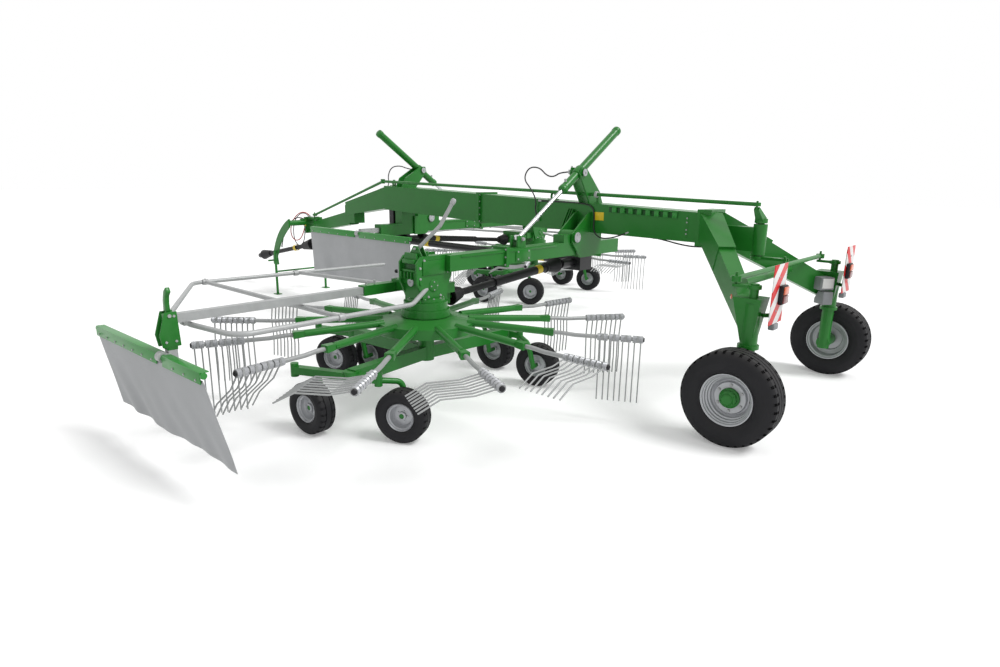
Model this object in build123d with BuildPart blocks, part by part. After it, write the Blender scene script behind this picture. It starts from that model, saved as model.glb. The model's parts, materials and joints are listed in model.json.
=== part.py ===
"""Twin rotor hay rake: central beam on a steered rear axle, two tined rotors on lifting booms.

Millimetres. +X forward to the tractor, +Y left, +Z up. The ground is Z = 0 and the origin lies on it
under the middle of the machine. Distances marked "ahead" are measured forward from the rear axle.
"""

import os
from math import cos, hypot, radians, sin

from build123d import *

os.makedirs("parts", exist_ok=True)

# ---- driving dimensions ----------------------------------------------------------------------

axle_x = -4555.0  # rear axle, behind the origin
track = 2660.0  # between the middles of the rear tyres
kingpin_y = track / 2 - 230

rear_tyre_r = 380.0
rear_tyre_w = 264.0
rear_rim_r = 207.0
small_tyre_r = 210.0
small_tyre_w = 165.0
small_rim_r = 112.0

beam_w = 280.0
beam_rear_x = axle_x + 950
beam_joint_x = axle_x + 3800
beam_front_x = axle_x + 5620
beam_rear_top = 1700.0
beam_front_top = 1830.0
beam_rear_h = 285.0
beam_joint_h = 335.0
beam_front_h = 325.0
flange_t = 22.0

kingpin_low_z = 730.0
kingpin_top_z = 1090.0
kingpin_r = 34.0
housing_r = 66.0

column_ahead = 400.0  # steering column, ahead of the axle
steer_arm = 150.0  # knuckle arms, and the rod's arm on the lever
tie_z = 1265.0
rod_z = 1800.0  # steering rod above the column
rod_front_z = 1890.0
rod_r = 18.0

boom_pivot_y = 400.0
boom_pivot_z = 1390.0
boom_w = 140.0
boom_h = 140.0
boom_z = 1270.0
clevis_reach = 850.0  # boom pivot to the lift cylinder's pin
clevis_z = 1420.0
trunnion_y = 280.0
trunnion_z = 2050.0
trunnion_r = 26.0
barrel_r = 45.0
barrel_front = 330.0
barrel_tail = 850.0
lift_rod_r = 20.0
fit = 0.3  # running clearance of pins and rods
side_gap = 6.0  # between plates that turn past each other

rotor_r = 1870.0
arm_z = 740.0
arms = 13
first_arm = 262.8  # degrees
hub_r = 430.0
drum_r = 210.0
drum_cap_r = 190.0
drum_low = 822.0
drum_step = 885.0
drum_top = 950.0
tower_top = 1345.0
tower_half = 95.0  # half of the tower's core, and where its cheek plates start
cheek_t = 18.0
inner_arm_r = 30.0
inner_arm_far = 1130.0
arm_socket = 1090.0  # where the outer arm is seated in the green one's bracket
outer_arm_r = 17.0
tine_first = 1535.0  # radius of the innermost tine clamp
tine_step = 95.0
tine_clamps = 4
clamp_w = 16.0
coil_w = 34.0
coil_r = 27.0
tine_r = 6.0
tine_runs = (170.0, 220.0, 160.0)

# how far each run of a tine stands from straight down, in degrees against the turn
hanging = (-8, 3, -4)
lifted = (78, 90, 62)
slanting = (36, 52, 38)
# the arms in their order round the rotor; the cam lifts the tines over part of the turn
arm_order = (hanging,) * 3 + (lifted,) * 3 + (slanting,) + (hanging,) * 6

guard_r = 19.0

shaft_offset = 150.0  # lateral drive shaft, ahead of its boom
shaft_in_y = 420.0
shaft_in_z = 1080.0
shaft_out_z = 940.0
shaft_r = 45.0

curtain_arm_w = 60.0
rail_r = 22.0
collar_r = 36.0
rail_out = 25.0  # rail's middle outside its arm's end post

joint_pin_r = 8.0  # cross pins of the shafts' joints
cone_mouth = 8.0  # how far a guard cone reaches behind its joint
input_pin_r = 14.0

head_ahead = 7520.0  # headstock pivot, ahead of the axle
head_x2 = axle_x + head_ahead
neck_x = head_x2 - 920
head_arm_y = 410.0
head_pin_ahead = head_ahead + 680
head_pin_z = 560.0
head_pin_r = 14.0
stand_pivot_z = 700.0
stand_ahead = head_ahead + 610

# side, +1 or -1 of the boom, hub ahead, hub y, boom ahead, height of the guard hoops
sides = (
    ("left", 1, 2350.0, 2360.0, 2250.0, 985.0),
    ("right", -1, 5100.0, -2650.0, 5350.0, 1000.0),
)

# curtains: side, arm ahead, arm's inner end y, arm z, rail's middle ahead, rail y, rail z,
# half the rail's length, drop of the cloth, how far its lower edge is swept back
curtains = (
    ("left", 2640.0, 2400.0, 1050.0, 2925.0, 4430.0, 800.0, 890.0, 520.0, 360.0),
    ("right", 5350.0, 120.0, 1250.0, 5370.0, 800.0, 1225.0, 1070.0, 650.0, 40.0),
)

# small wheels: letter, ahead of the hub, left of the hub, heading in degrees
small_wheels = (
    ("a", 160.0, 1070.0, 4.0),
    ("b", -490.0, 690.0, 26.0),
    ("c", 1240.0, 80.0, 22.0),
    ("d", 1050.0, -240.0, 8.0),
    ("e", 320.0, -1290.0, 6.0),
    ("f", -370.0, -1140.0, 16.0),
)

# bogies that carry them: ahead of the hub, left of the hub, and each wheel with the side of its arm
bogies = (
    (-110.0, 880.0, (("a", -1), ("b", -1))),
    (1010.0, 20.0, (("c", -1), ("d", 1))),
    (-20.0, -1080.0, (("e", 1), ("f", 1))),
)
trail = 200.0  # castor head ahead of its wheel
arm_out = small_tyre_w / 2 + 34  # castor arm beside its wheel
castor_z = 480.0

# ---- helpers ---------------------------------------------------------------------------------


def run(start, end):
    """Plane at start whose normal points to end, with its own x direction level, and the distance."""
    way = Vector(*end) - Vector(*start)
    level = Vector(-way.Y, way.X, 0) if hypot(way.X, way.Y) > 1 else Vector(1, 0, 0)
    return Plane(origin=start, x_dir=level, z_dir=way), way.length


def bar(start, end, width, height):
    """Rectangular bar; width lies level, height across it."""
    plane, length = run(start, end)
    with BuildPart() as piece:
        with BuildSketch(plane):
            Rectangle(width, height)
        extrude(amount=length)
    return piece.part


def taper_bar(start, end, first, last):
    """Rectangular bar that narrows from first (width, height) to last."""
    plane, length = run(start, end)
    with BuildPart() as piece:
        with BuildSketch(plane):
            Rectangle(*first)
        with BuildSketch(plane.offset(length)):
            Rectangle(*last)
        loft()
    return piece.part


def tube(start, end, radius, bore=0.0):
    """Round bar, or a tube where bore is its inner radius."""
    plane, length = run(start, end)
    with BuildPart() as piece:
        with BuildSketch(plane):
            Circle(radius)
            if bore:
                Circle(bore, mode=Mode.SUBTRACT)
        extrude(amount=length)
    return piece.part


def cone(start, end, first_r, last_r):
    plane, length = run(start, end)
    with BuildPart() as piece:
        with BuildSketch(plane):
            Circle(first_r)
        with BuildSketch(plane.offset(length)):
            Circle(last_r)
        loft()
    return piece.part


def plate_x(points, x, thickness):
    """Plate across X, from x forward; points are (y, z)."""
    with BuildPart() as piece:
        with BuildSketch(Plane(origin=(x, 0, 0), x_dir=(0, 1, 0), z_dir=(1, 0, 0))):
            Polygon(*points, align=None)
        extrude(amount=thickness)
    return piece.part


def plate_y(points, y, thickness):
    """Plate across Y, from y to the left; points are (x, z)."""
    with BuildPart() as piece:
        with BuildSketch(Plane(origin=(0, y, 0), x_dir=(1, 0, 0), z_dir=(0, -1, 0))):
            Polygon(*points, align=None)
        extrude(amount=-thickness)
    return piece.part


def bent_tube(points, radius, bend):
    """Tube along straight runs with one bend radius."""
    with BuildPart() as piece:
        with BuildLine() as path:
            FilletPolyline(*points, radius=bend)
        with BuildSketch(path.line ^ 0):
            Circle(radius)
        sweep(path=path.line)
    return piece.part


def wheel_profile(tyre_r, tyre_w, rim_r):
    """Tyre and its half section, revolved about Y at the origin."""
    half = tyre_w / 2
    with BuildPart() as piece:
        with BuildSketch(Plane.XY):
            with BuildLine():
                Polyline(
                    (rim_r, half * 0.72),
                    (rim_r + 0.25 * (tyre_r - rim_r), half * 0.95),
                    (rim_r + 0.55 * (tyre_r - rim_r), half),
                    (tyre_r - 0.14 * (tyre_r - rim_r), half * 0.9),
                    (tyre_r, half * 0.68),
                    (tyre_r, -half * 0.68),
                    (tyre_r - 0.14 * (tyre_r - rim_r), -half * 0.9),
                    (rim_r + 0.55 * (tyre_r - rim_r), -half),
                    (rim_r + 0.25 * (tyre_r - rim_r), -half * 0.95),
                    (rim_r, -half * 0.72),
                    close=True,
                )
            make_face()
        revolve(axis=Axis.Y)
    return piece.part


def rim_profile(rim_r, tyre_w, dish, hub_r, bore):
    """Rim with its disc dished by dish towards -Y from the +Y edge, bored for its axle."""
    half = tyre_w / 2 * 0.82
    wall = 9.0
    with BuildPart() as piece:
        with BuildSketch(Plane.XY):
            with BuildLine():
                Polyline(
                    (bore, half - dish - 12),
                    (hub_r, half - dish - 12),
                    (rim_r - 34, half - dish - 30),
                    (rim_r - 30, -half),
                    (rim_r - 0.3, -half),
                    (rim_r - 0.3, half),
                    (rim_r - 16, half),
                    (rim_r - 26, half - dish),
                    (hub_r, half - dish + wall),
                    (bore, half - dish + wall),
                    close=True,
                )
            make_face()
        revolve(axis=Axis.Y)
    return piece.part


def write(part, name):
    part.label = name
    export_step(part, f"parts/{name}.step")


def beam_top(x):
    share = (x - beam_rear_x) / (beam_front_x - beam_rear_x)
    return beam_rear_top + share * (beam_front_top - beam_rear_top)


# ---- main beam -------------------------------------------------------------------------------

joint_top = beam_top(beam_joint_x)
rear_bottom = beam_rear_top - beam_rear_h
joint_bottom = joint_top - beam_joint_h
front_bottom = beam_front_top - beam_front_h

with BuildPart() as main_beam_rear:
    with BuildSketch(Plane.XZ):
        Polygon(
            (beam_rear_x, rear_bottom),
            (beam_joint_x, joint_bottom),
            (beam_joint_x, joint_top),
            (beam_rear_x, beam_rear_top),
            align=None,
        )
    extrude(amount=beam_w / 2, both=True)
    # flange at the joint and at the axle
    with Locations((beam_joint_x - flange_t / 2, 0, (joint_top + joint_bottom) / 2)):
        Box(flange_t, beam_w + 70, beam_joint_h + 40)
write(main_beam_rear.part, "main_beam_rear")

with BuildPart() as main_beam_front:
    with BuildSketch(Plane.XZ):
        Polygon(
            (beam_joint_x, joint_bottom),
            (beam_front_x, front_bottom),
            (beam_front_x, beam_front_top),
            (beam_joint_x, joint_top),
            align=None,
        )
    extrude(amount=beam_w / 2 + 10, both=True)
    with Locations((beam_joint_x + flange_t / 2, 0, (joint_top + joint_bottom) / 2)):
        Box(flange_t, beam_w + 70, beam_joint_h + 40)
write(main_beam_front.part, "main_beam_front")

# ---- rear axle frame -------------------------------------------------------------------------

head_x = axle_x + 810
column_x = axle_x + column_ahead
leg_root = (head_x, 90, 1545)
leg_foot = (axle_x + 20, kingpin_y - 30, 930)
brace_x = axle_x + 310
brace_z = 1150.0

with BuildPart() as rear_axle_frame:
    with Locations(((head_x + beam_rear_x) / 2, 0, beam_rear_top - beam_rear_h / 2)):
        Box(beam_rear_x - head_x, beam_w + 40, beam_rear_h + 60)
    for side in (1, -1):
        root = (leg_root[0] + 20, side * leg_root[1], leg_root[2])
        foot = (leg_foot[0], side * leg_foot[1], leg_foot[2])
        add(taper_bar(root, foot, (170, 270), (110, 190)))
        with Locations((axle_x, side * kingpin_y, (kingpin_low_z + kingpin_top_z) / 2)):
            Cylinder(housing_r, kingpin_top_z - kingpin_low_z)
        with Locations((axle_x, side * kingpin_y, kingpin_low_z + 15)):
            Cylinder(housing_r + 16, 30)
        # wedge round the housing and the corner plate below the beam
        with BuildSketch(Plane.XY.offset(kingpin_low_z + 60)):
            with Locations((axle_x + 6, side * (kingpin_y - 6))):
                Rectangle(96, 110)
        with BuildSketch(Plane.XY.offset(kingpin_top_z + 40)):
            with Locations((axle_x + 30, side * (kingpin_y - 36))):
                Rectangle(220, 190)
        loft()
        add(
            taper_bar(
                (head_x + 60, side * 60, 1600),
                (axle_x + 520, side * (kingpin_y - 630), 1330),
                (210, 230),
                (150, 250),
            )
        )
    add(tube((brace_x, kingpin_y - 400, brace_z), (brace_x, 400 - kingpin_y, brace_z), 38))
    with Locations(((head_x + column_x) / 2, 0, 1480)):
        Box(head_x - column_x, 90, 220)
    with Locations((column_x, 0, 1480)):
        Cylinder(62, 280)
        Cylinder(30 + fit, 400, mode=Mode.SUBTRACT)
    with Locations((axle_x, kingpin_y, 900), (axle_x, -kingpin_y, 900)):
        Cylinder(kingpin_r + fit, 800, mode=Mode.SUBTRACT)
    add(main_beam_rear.part, mode=Mode.SUBTRACT)
write(rear_axle_frame.part, "rear_axle_frame")

# ---- knuckles, tie rod, rear wheels ----------------------------------------------------------

wheel_y = track / 2
wheel_half = rear_tyre_w / 2
dish = 92.0
disc_y = wheel_y + wheel_half * 0.82 - dish
stub_r = 42.0
tie_r = 22.0
pin_gap = 3.0

for side, name in ((1, "left"), (-1, "right")):
    with BuildPart() as knuckle:
        with Locations((axle_x, side * kingpin_y, (rear_tyre_r + 1240) / 2)):
            Cylinder(kingpin_r, 1240 - rear_tyre_r)
        with Locations((axle_x, side * kingpin_y, (rear_tyre_r - 60 + kingpin_low_z - 3) / 2)):
            Cylinder(56, kingpin_low_z - 3 - rear_tyre_r + 60)
        add(
            tube(
                (axle_x, side * (kingpin_y - 40), rear_tyre_r),
                (axle_x, side * (disc_y - 30), rear_tyre_r),
                stub_r + 20,
            )
        )
        add(
            tube(
                (axle_x, side * (disc_y - 60), rear_tyre_r),
                (axle_x, side * (disc_y + 70), rear_tyre_r),
                stub_r,
            )
        )
        # steering arm on top of the kingpin
        with Locations((axle_x, side * kingpin_y, 1215)):
            Cylinder(52, 30)
        with Locations((axle_x + steer_arm / 2, side * kingpin_y, 1215)):
            Box(steer_arm, 60, 22)
        with Locations((axle_x + steer_arm, side * kingpin_y, 1215)):
            Cylinder(30, 22)
        with Locations((axle_x + steer_arm, side * kingpin_y, 1260)):
            Cylinder(11, 110)
    write(knuckle.part, f"knuckle_{name}")

    tyre = wheel_profile(rear_tyre_r, rear_tyre_w, rear_rim_r).moved(
        Location((axle_x, side * wheel_y, rear_tyre_r))
    )
    write(tyre, f"tyre_{name}")
    turn = Location((axle_x, side * wheel_y, rear_tyre_r), (0, 0, 0 if side > 0 else 180))
    rim = rim_profile(rear_rim_r, rear_tyre_w, dish, 95, stub_r + fit)
    with BuildPart() as rim_piece:
        add(rim)
        with BuildSketch(Plane.XZ.offset(-(disc_y - wheel_y))):
            with PolarLocations(70, 6):
                Circle(9)
        extrude(amount=-26)
    write(rim_piece.part.moved(turn), f"rim_{name}")

tie_x = axle_x + steer_arm
with BuildPart() as tie_rod:
    add(tube((tie_x, kingpin_y - 34, tie_z), (tie_x, -kingpin_y + 34, tie_z), tie_r))
    with Locations((tie_x, kingpin_y, tie_z), (tie_x, -kingpin_y, tie_z)):
        Cylinder(40, 44)
        Cylinder(11 + fit, 60, mode=Mode.SUBTRACT)
    with Locations((tie_x, 0, 1305)):
        Cylinder(12, 80)
write(tie_rod.part, "tie_rod")

lever_reach = column_ahead - steer_arm
with BuildPart() as steering_lever:
    with Locations((column_x, 0, 1480)):
        Cylinder(30, 380)
    with Locations((column_x, 0, 1316)):
        Cylinder(58, 28)
    with Locations((column_x - lever_reach / 2 - 12, 0, 1316)):
        Box(lever_reach + 24, 70, 22)
    with Locations((tie_x, 0, 1316)):
        Box(60, 40, 40, mode=Mode.SUBTRACT)
    with Locations((column_x, 0, 1650)):
        Cylinder(58, 40)
    add(taper_bar((column_x, 0, 1650), (column_x, steer_arm, 1765), (80, 70), (46, 30)))
    with Locations((column_x, steer_arm, 1790)):
        Cylinder(10, 80)
write(steering_lever.part, "steering_lever")

with BuildPart() as steering_rod:
    rod_turn_x = neck_x - 960
    add(tube((column_x + 20, steer_arm, rod_z), (rod_turn_x, steer_arm, rod_front_z), rod_r))
    add(tube((rod_turn_x - 5, steer_arm, rod_front_z), (head_x2 - 22, 54, 1330), rod_r))
    with Locations((rod_turn_x, steer_arm, rod_front_z)):
        Cylinder(30, 60)
    with Locations((column_x, steer_arm - 2, rod_z)):
        Cylinder(32, 34)
        Cylinder(12 + pin_gap, 60, mode=Mode.SUBTRACT)
    # the front eye is a slot, because its pin swings across as it turns
    with Locations((head_x2, 48, 1325)):
        Box(60, 48, 34)
        Box(2 * (10 + pin_gap), 2 * (16 + pin_gap), 60, mode=Mode.SUBTRACT)
write(steering_rod.part, "steering_rod")

# ---- brackets that carry the booms and the lift cylinders ------------------------------------

with BuildPart() as boom_brackets:
    for name, side, hub_ahead, hub_y, boom_ahead, guard_z in sides:
        boom_x = axle_x + boom_ahead
        top = beam_top(boom_x)
        below = top - 400 if side < 0 else joint_bottom
        for end in (1, -1):
            inner = boom_w / 2 + side_gap
            near = boom_x + inner if end > 0 else boom_x - inner - 20
            half = beam_w / 2 + (10 if side < 0 else 0)
            add(
                plate_x(
                    [
                        (side * half, top - 90),
                        (side * (half + 60), top - 110),
                        (side * (boom_pivot_y + 70), boom_pivot_z + 40),
                        (side * (boom_pivot_y + 70), boom_pivot_z - 50),
                        (side * (boom_pivot_y - 90), boom_z - 100),
                        (side * (half - 60), boom_z - 100),
                        (side * (half - 60), below),
                        (side * half, below),
                    ],
                    near,
                    20,
                )
            )
            tower_in = barrel_r + side_gap
            near = boom_x + tower_in if end > 0 else boom_x - tower_in - 18
            add(
                plate_x(
                    [
                        (-side * 110, top - 4),
                        (side * (half + 0), top - 4),
                        (side * (trunnion_y + 65), trunnion_z - 20),
                        (side * (trunnion_y + 45), trunnion_z + 50),
                        (side * (trunnion_y - 45), trunnion_z + 50),
                        (-side * 40, top + 120),
                    ],
                    near,
                    18,
                )
            )
        # cross member under the beam
        with Locations((boom_x, -side * 85, boom_z - 20)):
            Box(boom_w, 810, 150)
        with Locations((boom_x, 0, (boom_z + top - 120) / 2)):
            Box(boom_w, beam_w - 40, top - 120 - boom_z)
        # boom pivot pin with its caps
        pin_half = boom_w / 2 + side_gap + 20
        add(
            tube(
                (boom_x - pin_half - 16, side * boom_pivot_y, boom_pivot_z),
                (boom_x + pin_half + 16, side * boom_pivot_y, boom_pivot_z),
                30,
            )
        )
        for end in (1, -1):
            add(
                tube(
                    (boom_x + end * pin_half, side * boom_pivot_y, boom_pivot_z),
                    (boom_x + end * (pin_half + 14), side * boom_pivot_y, boom_pivot_z),
                    60,
                )
            )
        # holes for the trunnions
        add(
            tube(
                (boom_x - 200, side * trunnion_y, trunnion_z),
                (boom_x + 200, side * trunnion_y, trunnion_z),
                trunnion_r + fit,
            ),
            mode=Mode.SUBTRACT,
        )
    # passage of the steering rod
    add(
        tube((column_x + 20, steer_arm, rod_z), (rod_turn_x, steer_arm, rod_front_z), rod_r + fit),
        mode=Mode.SUBTRACT,
    )
    add(main_beam_rear.part, mode=Mode.SUBTRACT)
    add(main_beam_front.part, mode=Mode.SUBTRACT)
    # the front curtain's arm slides right through its cross member
    front_arm = curtains[1]
    with Locations((axle_x + front_arm[1], front_arm[2] + 95, front_arm[3])):
        Box(curtain_arm_w + 2 * fit, 1110, curtain_arm_w + 2 * fit, mode=Mode.SUBTRACT)
write(boom_brackets.part, "boom_brackets")

# ---- drive line under the beam ---------------------------------------------------------------

joint_z = 870.0
with BuildPart() as drive_line:
    for name, side, hub_ahead, hub_y, boom_ahead, guard_z in sides:
        gear_x = axle_x + boom_ahead + shaft_offset
        with Locations((gear_x, 0, shaft_in_z)):
            Box(230, 230, 170)
        add(tube((gear_x, 0, shaft_in_z), (gear_x, side * (shaft_in_y - 92), shaft_in_z), 52))
        add(tube((gear_x, 0, shaft_in_z), (gear_x, side * (shaft_in_y + 14), shaft_in_z), 20))
        add(
            tube(
                (gear_x - 60, side * shaft_in_y, shaft_in_z),
                (gear_x + 60, side * shaft_in_y, shaft_in_z),
                joint_pin_r + fit,
            ),
            mode=Mode.SUBTRACT,
        )
        hanger_top = beam_top(gear_x) - 120
        with Locations((gear_x + 60, 0, (shaft_in_z + hanger_top) / 2)):
            Box(90, 160, hanger_top - shaft_in_z)
    rear_gear = axle_x + sides[0][4] + shaft_offset
    front_gear = axle_x + sides[1][4] + shaft_offset
    add(tube((rear_gear + 100, 0, shaft_in_z), (front_gear - 100, 0, shaft_in_z), shaft_r))
    add(
        tube(
            (front_gear + 100, 0, shaft_in_z),
            (head_x2 - 60, 0, joint_z),
            shaft_r,
        )
    )
    # fork and upright pin of the joint below the headstock's pivot
    with Locations((head_x2 - 35, 0, joint_z - 36), (head_x2 - 35, 0, joint_z + 36)):
        Box(100, 50, 14)
    with Locations((head_x2, 0, joint_z)):
        Cylinder(input_pin_r, 86)
    add(main_beam_rear.part, mode=Mode.SUBTRACT)
    add(main_beam_front.part, mode=Mode.SUBTRACT)
write(drive_line.part, "drive_line")

# ---- drawbar, headstock, stand, input shaft --------------------------------------------------

with BuildPart() as drawbar:
    add(
        taper_bar(
            (beam_front_x, 0, beam_front_top - beam_front_h / 2),
            (neck_x, 0, 1470),
            (240, beam_front_h - 30),
            (200, 190),
        )
    )
    with Locations((neck_x - 80, 0, 1390)):
        Box(230, 190, 260)
    add(taper_bar((neck_x - 40, 0, 1330), (head_x2 - 30, 0, 1150), (170, 200), (130, 150)))
    with Locations((head_x2, 0, 1150)):
        Cylinder(70, 170)
        Cylinder(30 + fit, 300, mode=Mode.SUBTRACT)
    add(main_beam_front.part, mode=Mode.SUBTRACT)
write(drawbar.part, "drawbar")

pin_x = axle_x + head_pin_ahead
cross_z = 1240 + 44 / 2 + 1
with BuildPart() as headstock:
    with Locations((head_x2, 0, 1170)):
        Cylinder(30, 250)
    with Locations((head_x2, 0, cross_z + 6), (head_x2, 0, 1042)):
        Cylinder(72, 36)
    # upper and lower plates that lead forward to the cross tube
    with Locations((head_x2 + 110, 0, cross_z + 6)):
        Box(220, 130, 30)
    with Locations((head_x2 + 150, 0, 1042)):
        Box(300, 130, 30)
    with Locations((head_x2 + 235, 0, 1150)):
        Box(60, 180, 260)
    add(tube((head_x2 + 235, -head_arm_y, 1190), (head_x2 + 235, head_arm_y, 1190), 44))
    # rod arm
    with Locations((head_x2, 40, cross_z + 12)):
        Box(50, 90, 22)
    with Locations((head_x2, 54, 1320)):
        Cylinder(10, 90)
    for side in (1, -1):
        with BuildSketch(Plane(origin=(0, side * head_arm_y, 0), x_dir=(1, 0, 0), z_dir=(0, -1, 0))):
            with BuildLine():
                arch = ThreePointArc(
                    (head_x2 + 180, 1260), (head_x2 + 520, 1000), (pin_x + 40, head_pin_z + 60)
                )
                Line(arch @ 1, (pin_x + 40, head_pin_z - 70))
                Line((pin_x + 40, head_pin_z - 70), (pin_x - 90, head_pin_z - 70))
                Line((pin_x - 90, head_pin_z - 70), (pin_x - 70, head_pin_z + 60))
                inner_arch = ThreePointArc(
                    (pin_x - 70, head_pin_z + 60), (head_x2 + 410, 930), (head_x2 + 180, 1130)
                )
                Line(inner_arch @ 1, arch @ 0)
            make_face()
        extrude(amount=14, both=True)
        add(
            tube(
                (pin_x - 20, side * (head_arm_y - 10), head_pin_z),
                (pin_x - 20, side * (head_arm_y + 140), head_pin_z),
                head_pin_r,
            )
        )
        with Locations((axle_x + stand_ahead - 40, side * (head_arm_y + 22), stand_pivot_z)):
            Box(70, 20, 70)
        add(
            tube(
                (axle_x + stand_ahead - 40, side * head_arm_y, stand_pivot_z),
                (axle_x + stand_ahead - 40, side * (head_arm_y + 84), stand_pivot_z),
                12,
            )
        )
write(headstock.part, "headstock")

with BuildPart() as parking_stand:
    for side in (1, -1):
        leg_y = side * (head_arm_y + 60)
        leg_x = axle_x + stand_ahead - 40
        add(tube((leg_x, leg_y, stand_pivot_z + 30), (leg_x, leg_y, 6), 20))
        with Locations((leg_x, leg_y, 6)):
            Box(120, 90, 12)
        add(
            tube((leg_x, leg_y - 40, stand_pivot_z), (leg_x, leg_y + 40, stand_pivot_z), 12 + fit),
            mode=Mode.SUBTRACT,
        )
    add(tube((leg_x, head_arm_y + 60, 380), (leg_x, -head_arm_y - 60, 380), 14))
write(parking_stand.part, "parking_stand")

# the input shaft lies on one line from the joint to its yoke, which is bored for the tractor's shaft
pto_plane, pto_length = run((head_x2 + 45, 0, joint_z - 7), (head_x2 + 1910, 0, 486))
yoke_length = 150.0
yoke_r = 42.0
yoke_bore_r = 17.5


def pto_at(distance):
    point = pto_plane.origin + pto_plane.z_dir * distance
    return (point.X, point.Y, point.Z)


yoke_from = pto_length - yoke_length
with BuildPart() as pto_shaft:
    with Locations((head_x2, 0, joint_z)):
        Cylinder(36, 46)
    with Locations((head_x2 + 38, 0, joint_z - 2)):
        Box(40, 40, 40)
    with Locations((head_x2, 0, joint_z)):
        Cylinder(input_pin_r + fit, 60, mode=Mode.SUBTRACT)
    add(tube(pto_at(0), pto_at(240), 40))
    add(cone(pto_at(140), pto_at(400), 95, 60))
    add(tube(pto_at(380), pto_at(yoke_from), 36))
    add(cone(pto_at(yoke_from - 240), pto_at(yoke_from), 50, 85))
write(pto_shaft.part, "pto_shaft")
write(tube(pto_at(yoke_from), pto_at(pto_length), yoke_r, yoke_bore_r), "drive_yoke")

# ---- rear boards and chock box ---------------------------------------------------------------

with BuildPart() as warning_boards:
    for side in (1, -1):
        y = side * (kingpin_y - 90)
        x = axle_x - 150
        with Locations((x, y, 1120)):
            Box(8, 280, 560)
        add(bar((x + 4, y, 1000), (axle_x - housing_r + 10, side * (kingpin_y - 20), 1000), 40, 40))
        with Locations((x - 24, y, 1080)):
            Box(40, 200, 110)
    add(rear_axle_frame.part, mode=Mode.SUBTRACT)
write(warning_boards.part, "warning_boards")

# ---- rotor units -----------------------------------------------------------------------------


def small_wheel():
    with BuildPart() as wheel:
        add(wheel_profile(small_tyre_r, small_tyre_w, small_rim_r))
        add(rim_profile(small_rim_r + 0.6, small_tyre_w, 52, 50, 20 + fit))
    return wheel.part


def wheel_place(hub_x, hub_y, ahead, left, heading):
    """Location of a small wheel: its axle along Y turned by heading."""
    return Location((hub_x + ahead, hub_y + left, small_tyre_r), (0, 0, heading))


def castor(arm_side):
    """Castor head, arm and axle stub of a small wheel whose middle is the origin."""
    with BuildPart() as piece:
        with Locations((trail, 0, castor_z - small_tyre_r)):
            Cylinder(32, 110)
        add(
            bent_tube(
                [
                    (trail, 0, castor_z - small_tyre_r - 10),
                    (trail - 140, arm_side * arm_out, castor_z - small_tyre_r - 40),
                    (0, arm_side * arm_out, 0),
                ],
                24,
                60,
            )
        )
        add(tube((0, arm_side * (arm_out + 22), 0), (0, -arm_side * 30, 0), 20))
    return piece.part


def hang(point, angle, distance):
    """Point reached from point by going down, turned by angle against the turn."""
    x, y, z = point
    return (x, y - distance * sin(radians(angle)), z - distance * cos(radians(angle)))


def tine_arm(angles):
    """Outer arm along +X from the end of its green tube, with its clamps, coils and bent tines."""
    with BuildPart() as arm:
        add(
            bent_tube(
                [
                    (arm_socket, 0, arm_z + 10),
                    (inner_arm_far + 60, 0, arm_z + 10),
                    (inner_arm_far + 180, 0, arm_z),
                    (rotor_r, 0, arm_z),
                ],
                outer_arm_r,
                100,
            )
        )
        for k in range(tine_clamps):
            at = tine_first + k * tine_step
            with Locations((at, 0, arm_z)):
                Box(clamp_w, 60, 44)
            for end in (-1, 1):
                middle = at + end * (clamp_w + coil_w) / 2
                add(tube((middle - coil_w / 2, 0, arm_z), (middle + coil_w / 2, 0, arm_z), coil_r))
                points = [(middle, 0, arm_z)]
                for angle, distance in zip(angles, tine_runs):
                    points.append(hang(points[-1], angle, distance))
                with BuildLine() as path:
                    Polyline(*points)
                with BuildSketch(path.line ^ 0):
                    RegularPolygon(tine_r, 6)
                sweep(path=path.line, transition=Transition.RIGHT)
    return arm.part


arm_kinds = {angles: tine_arm(angles) for angles in (hanging, lifted, slanting)}
castors = {arm_side: castor(arm_side) for arm_side in (1, -1)}
spot_wheel = small_wheel()

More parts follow.
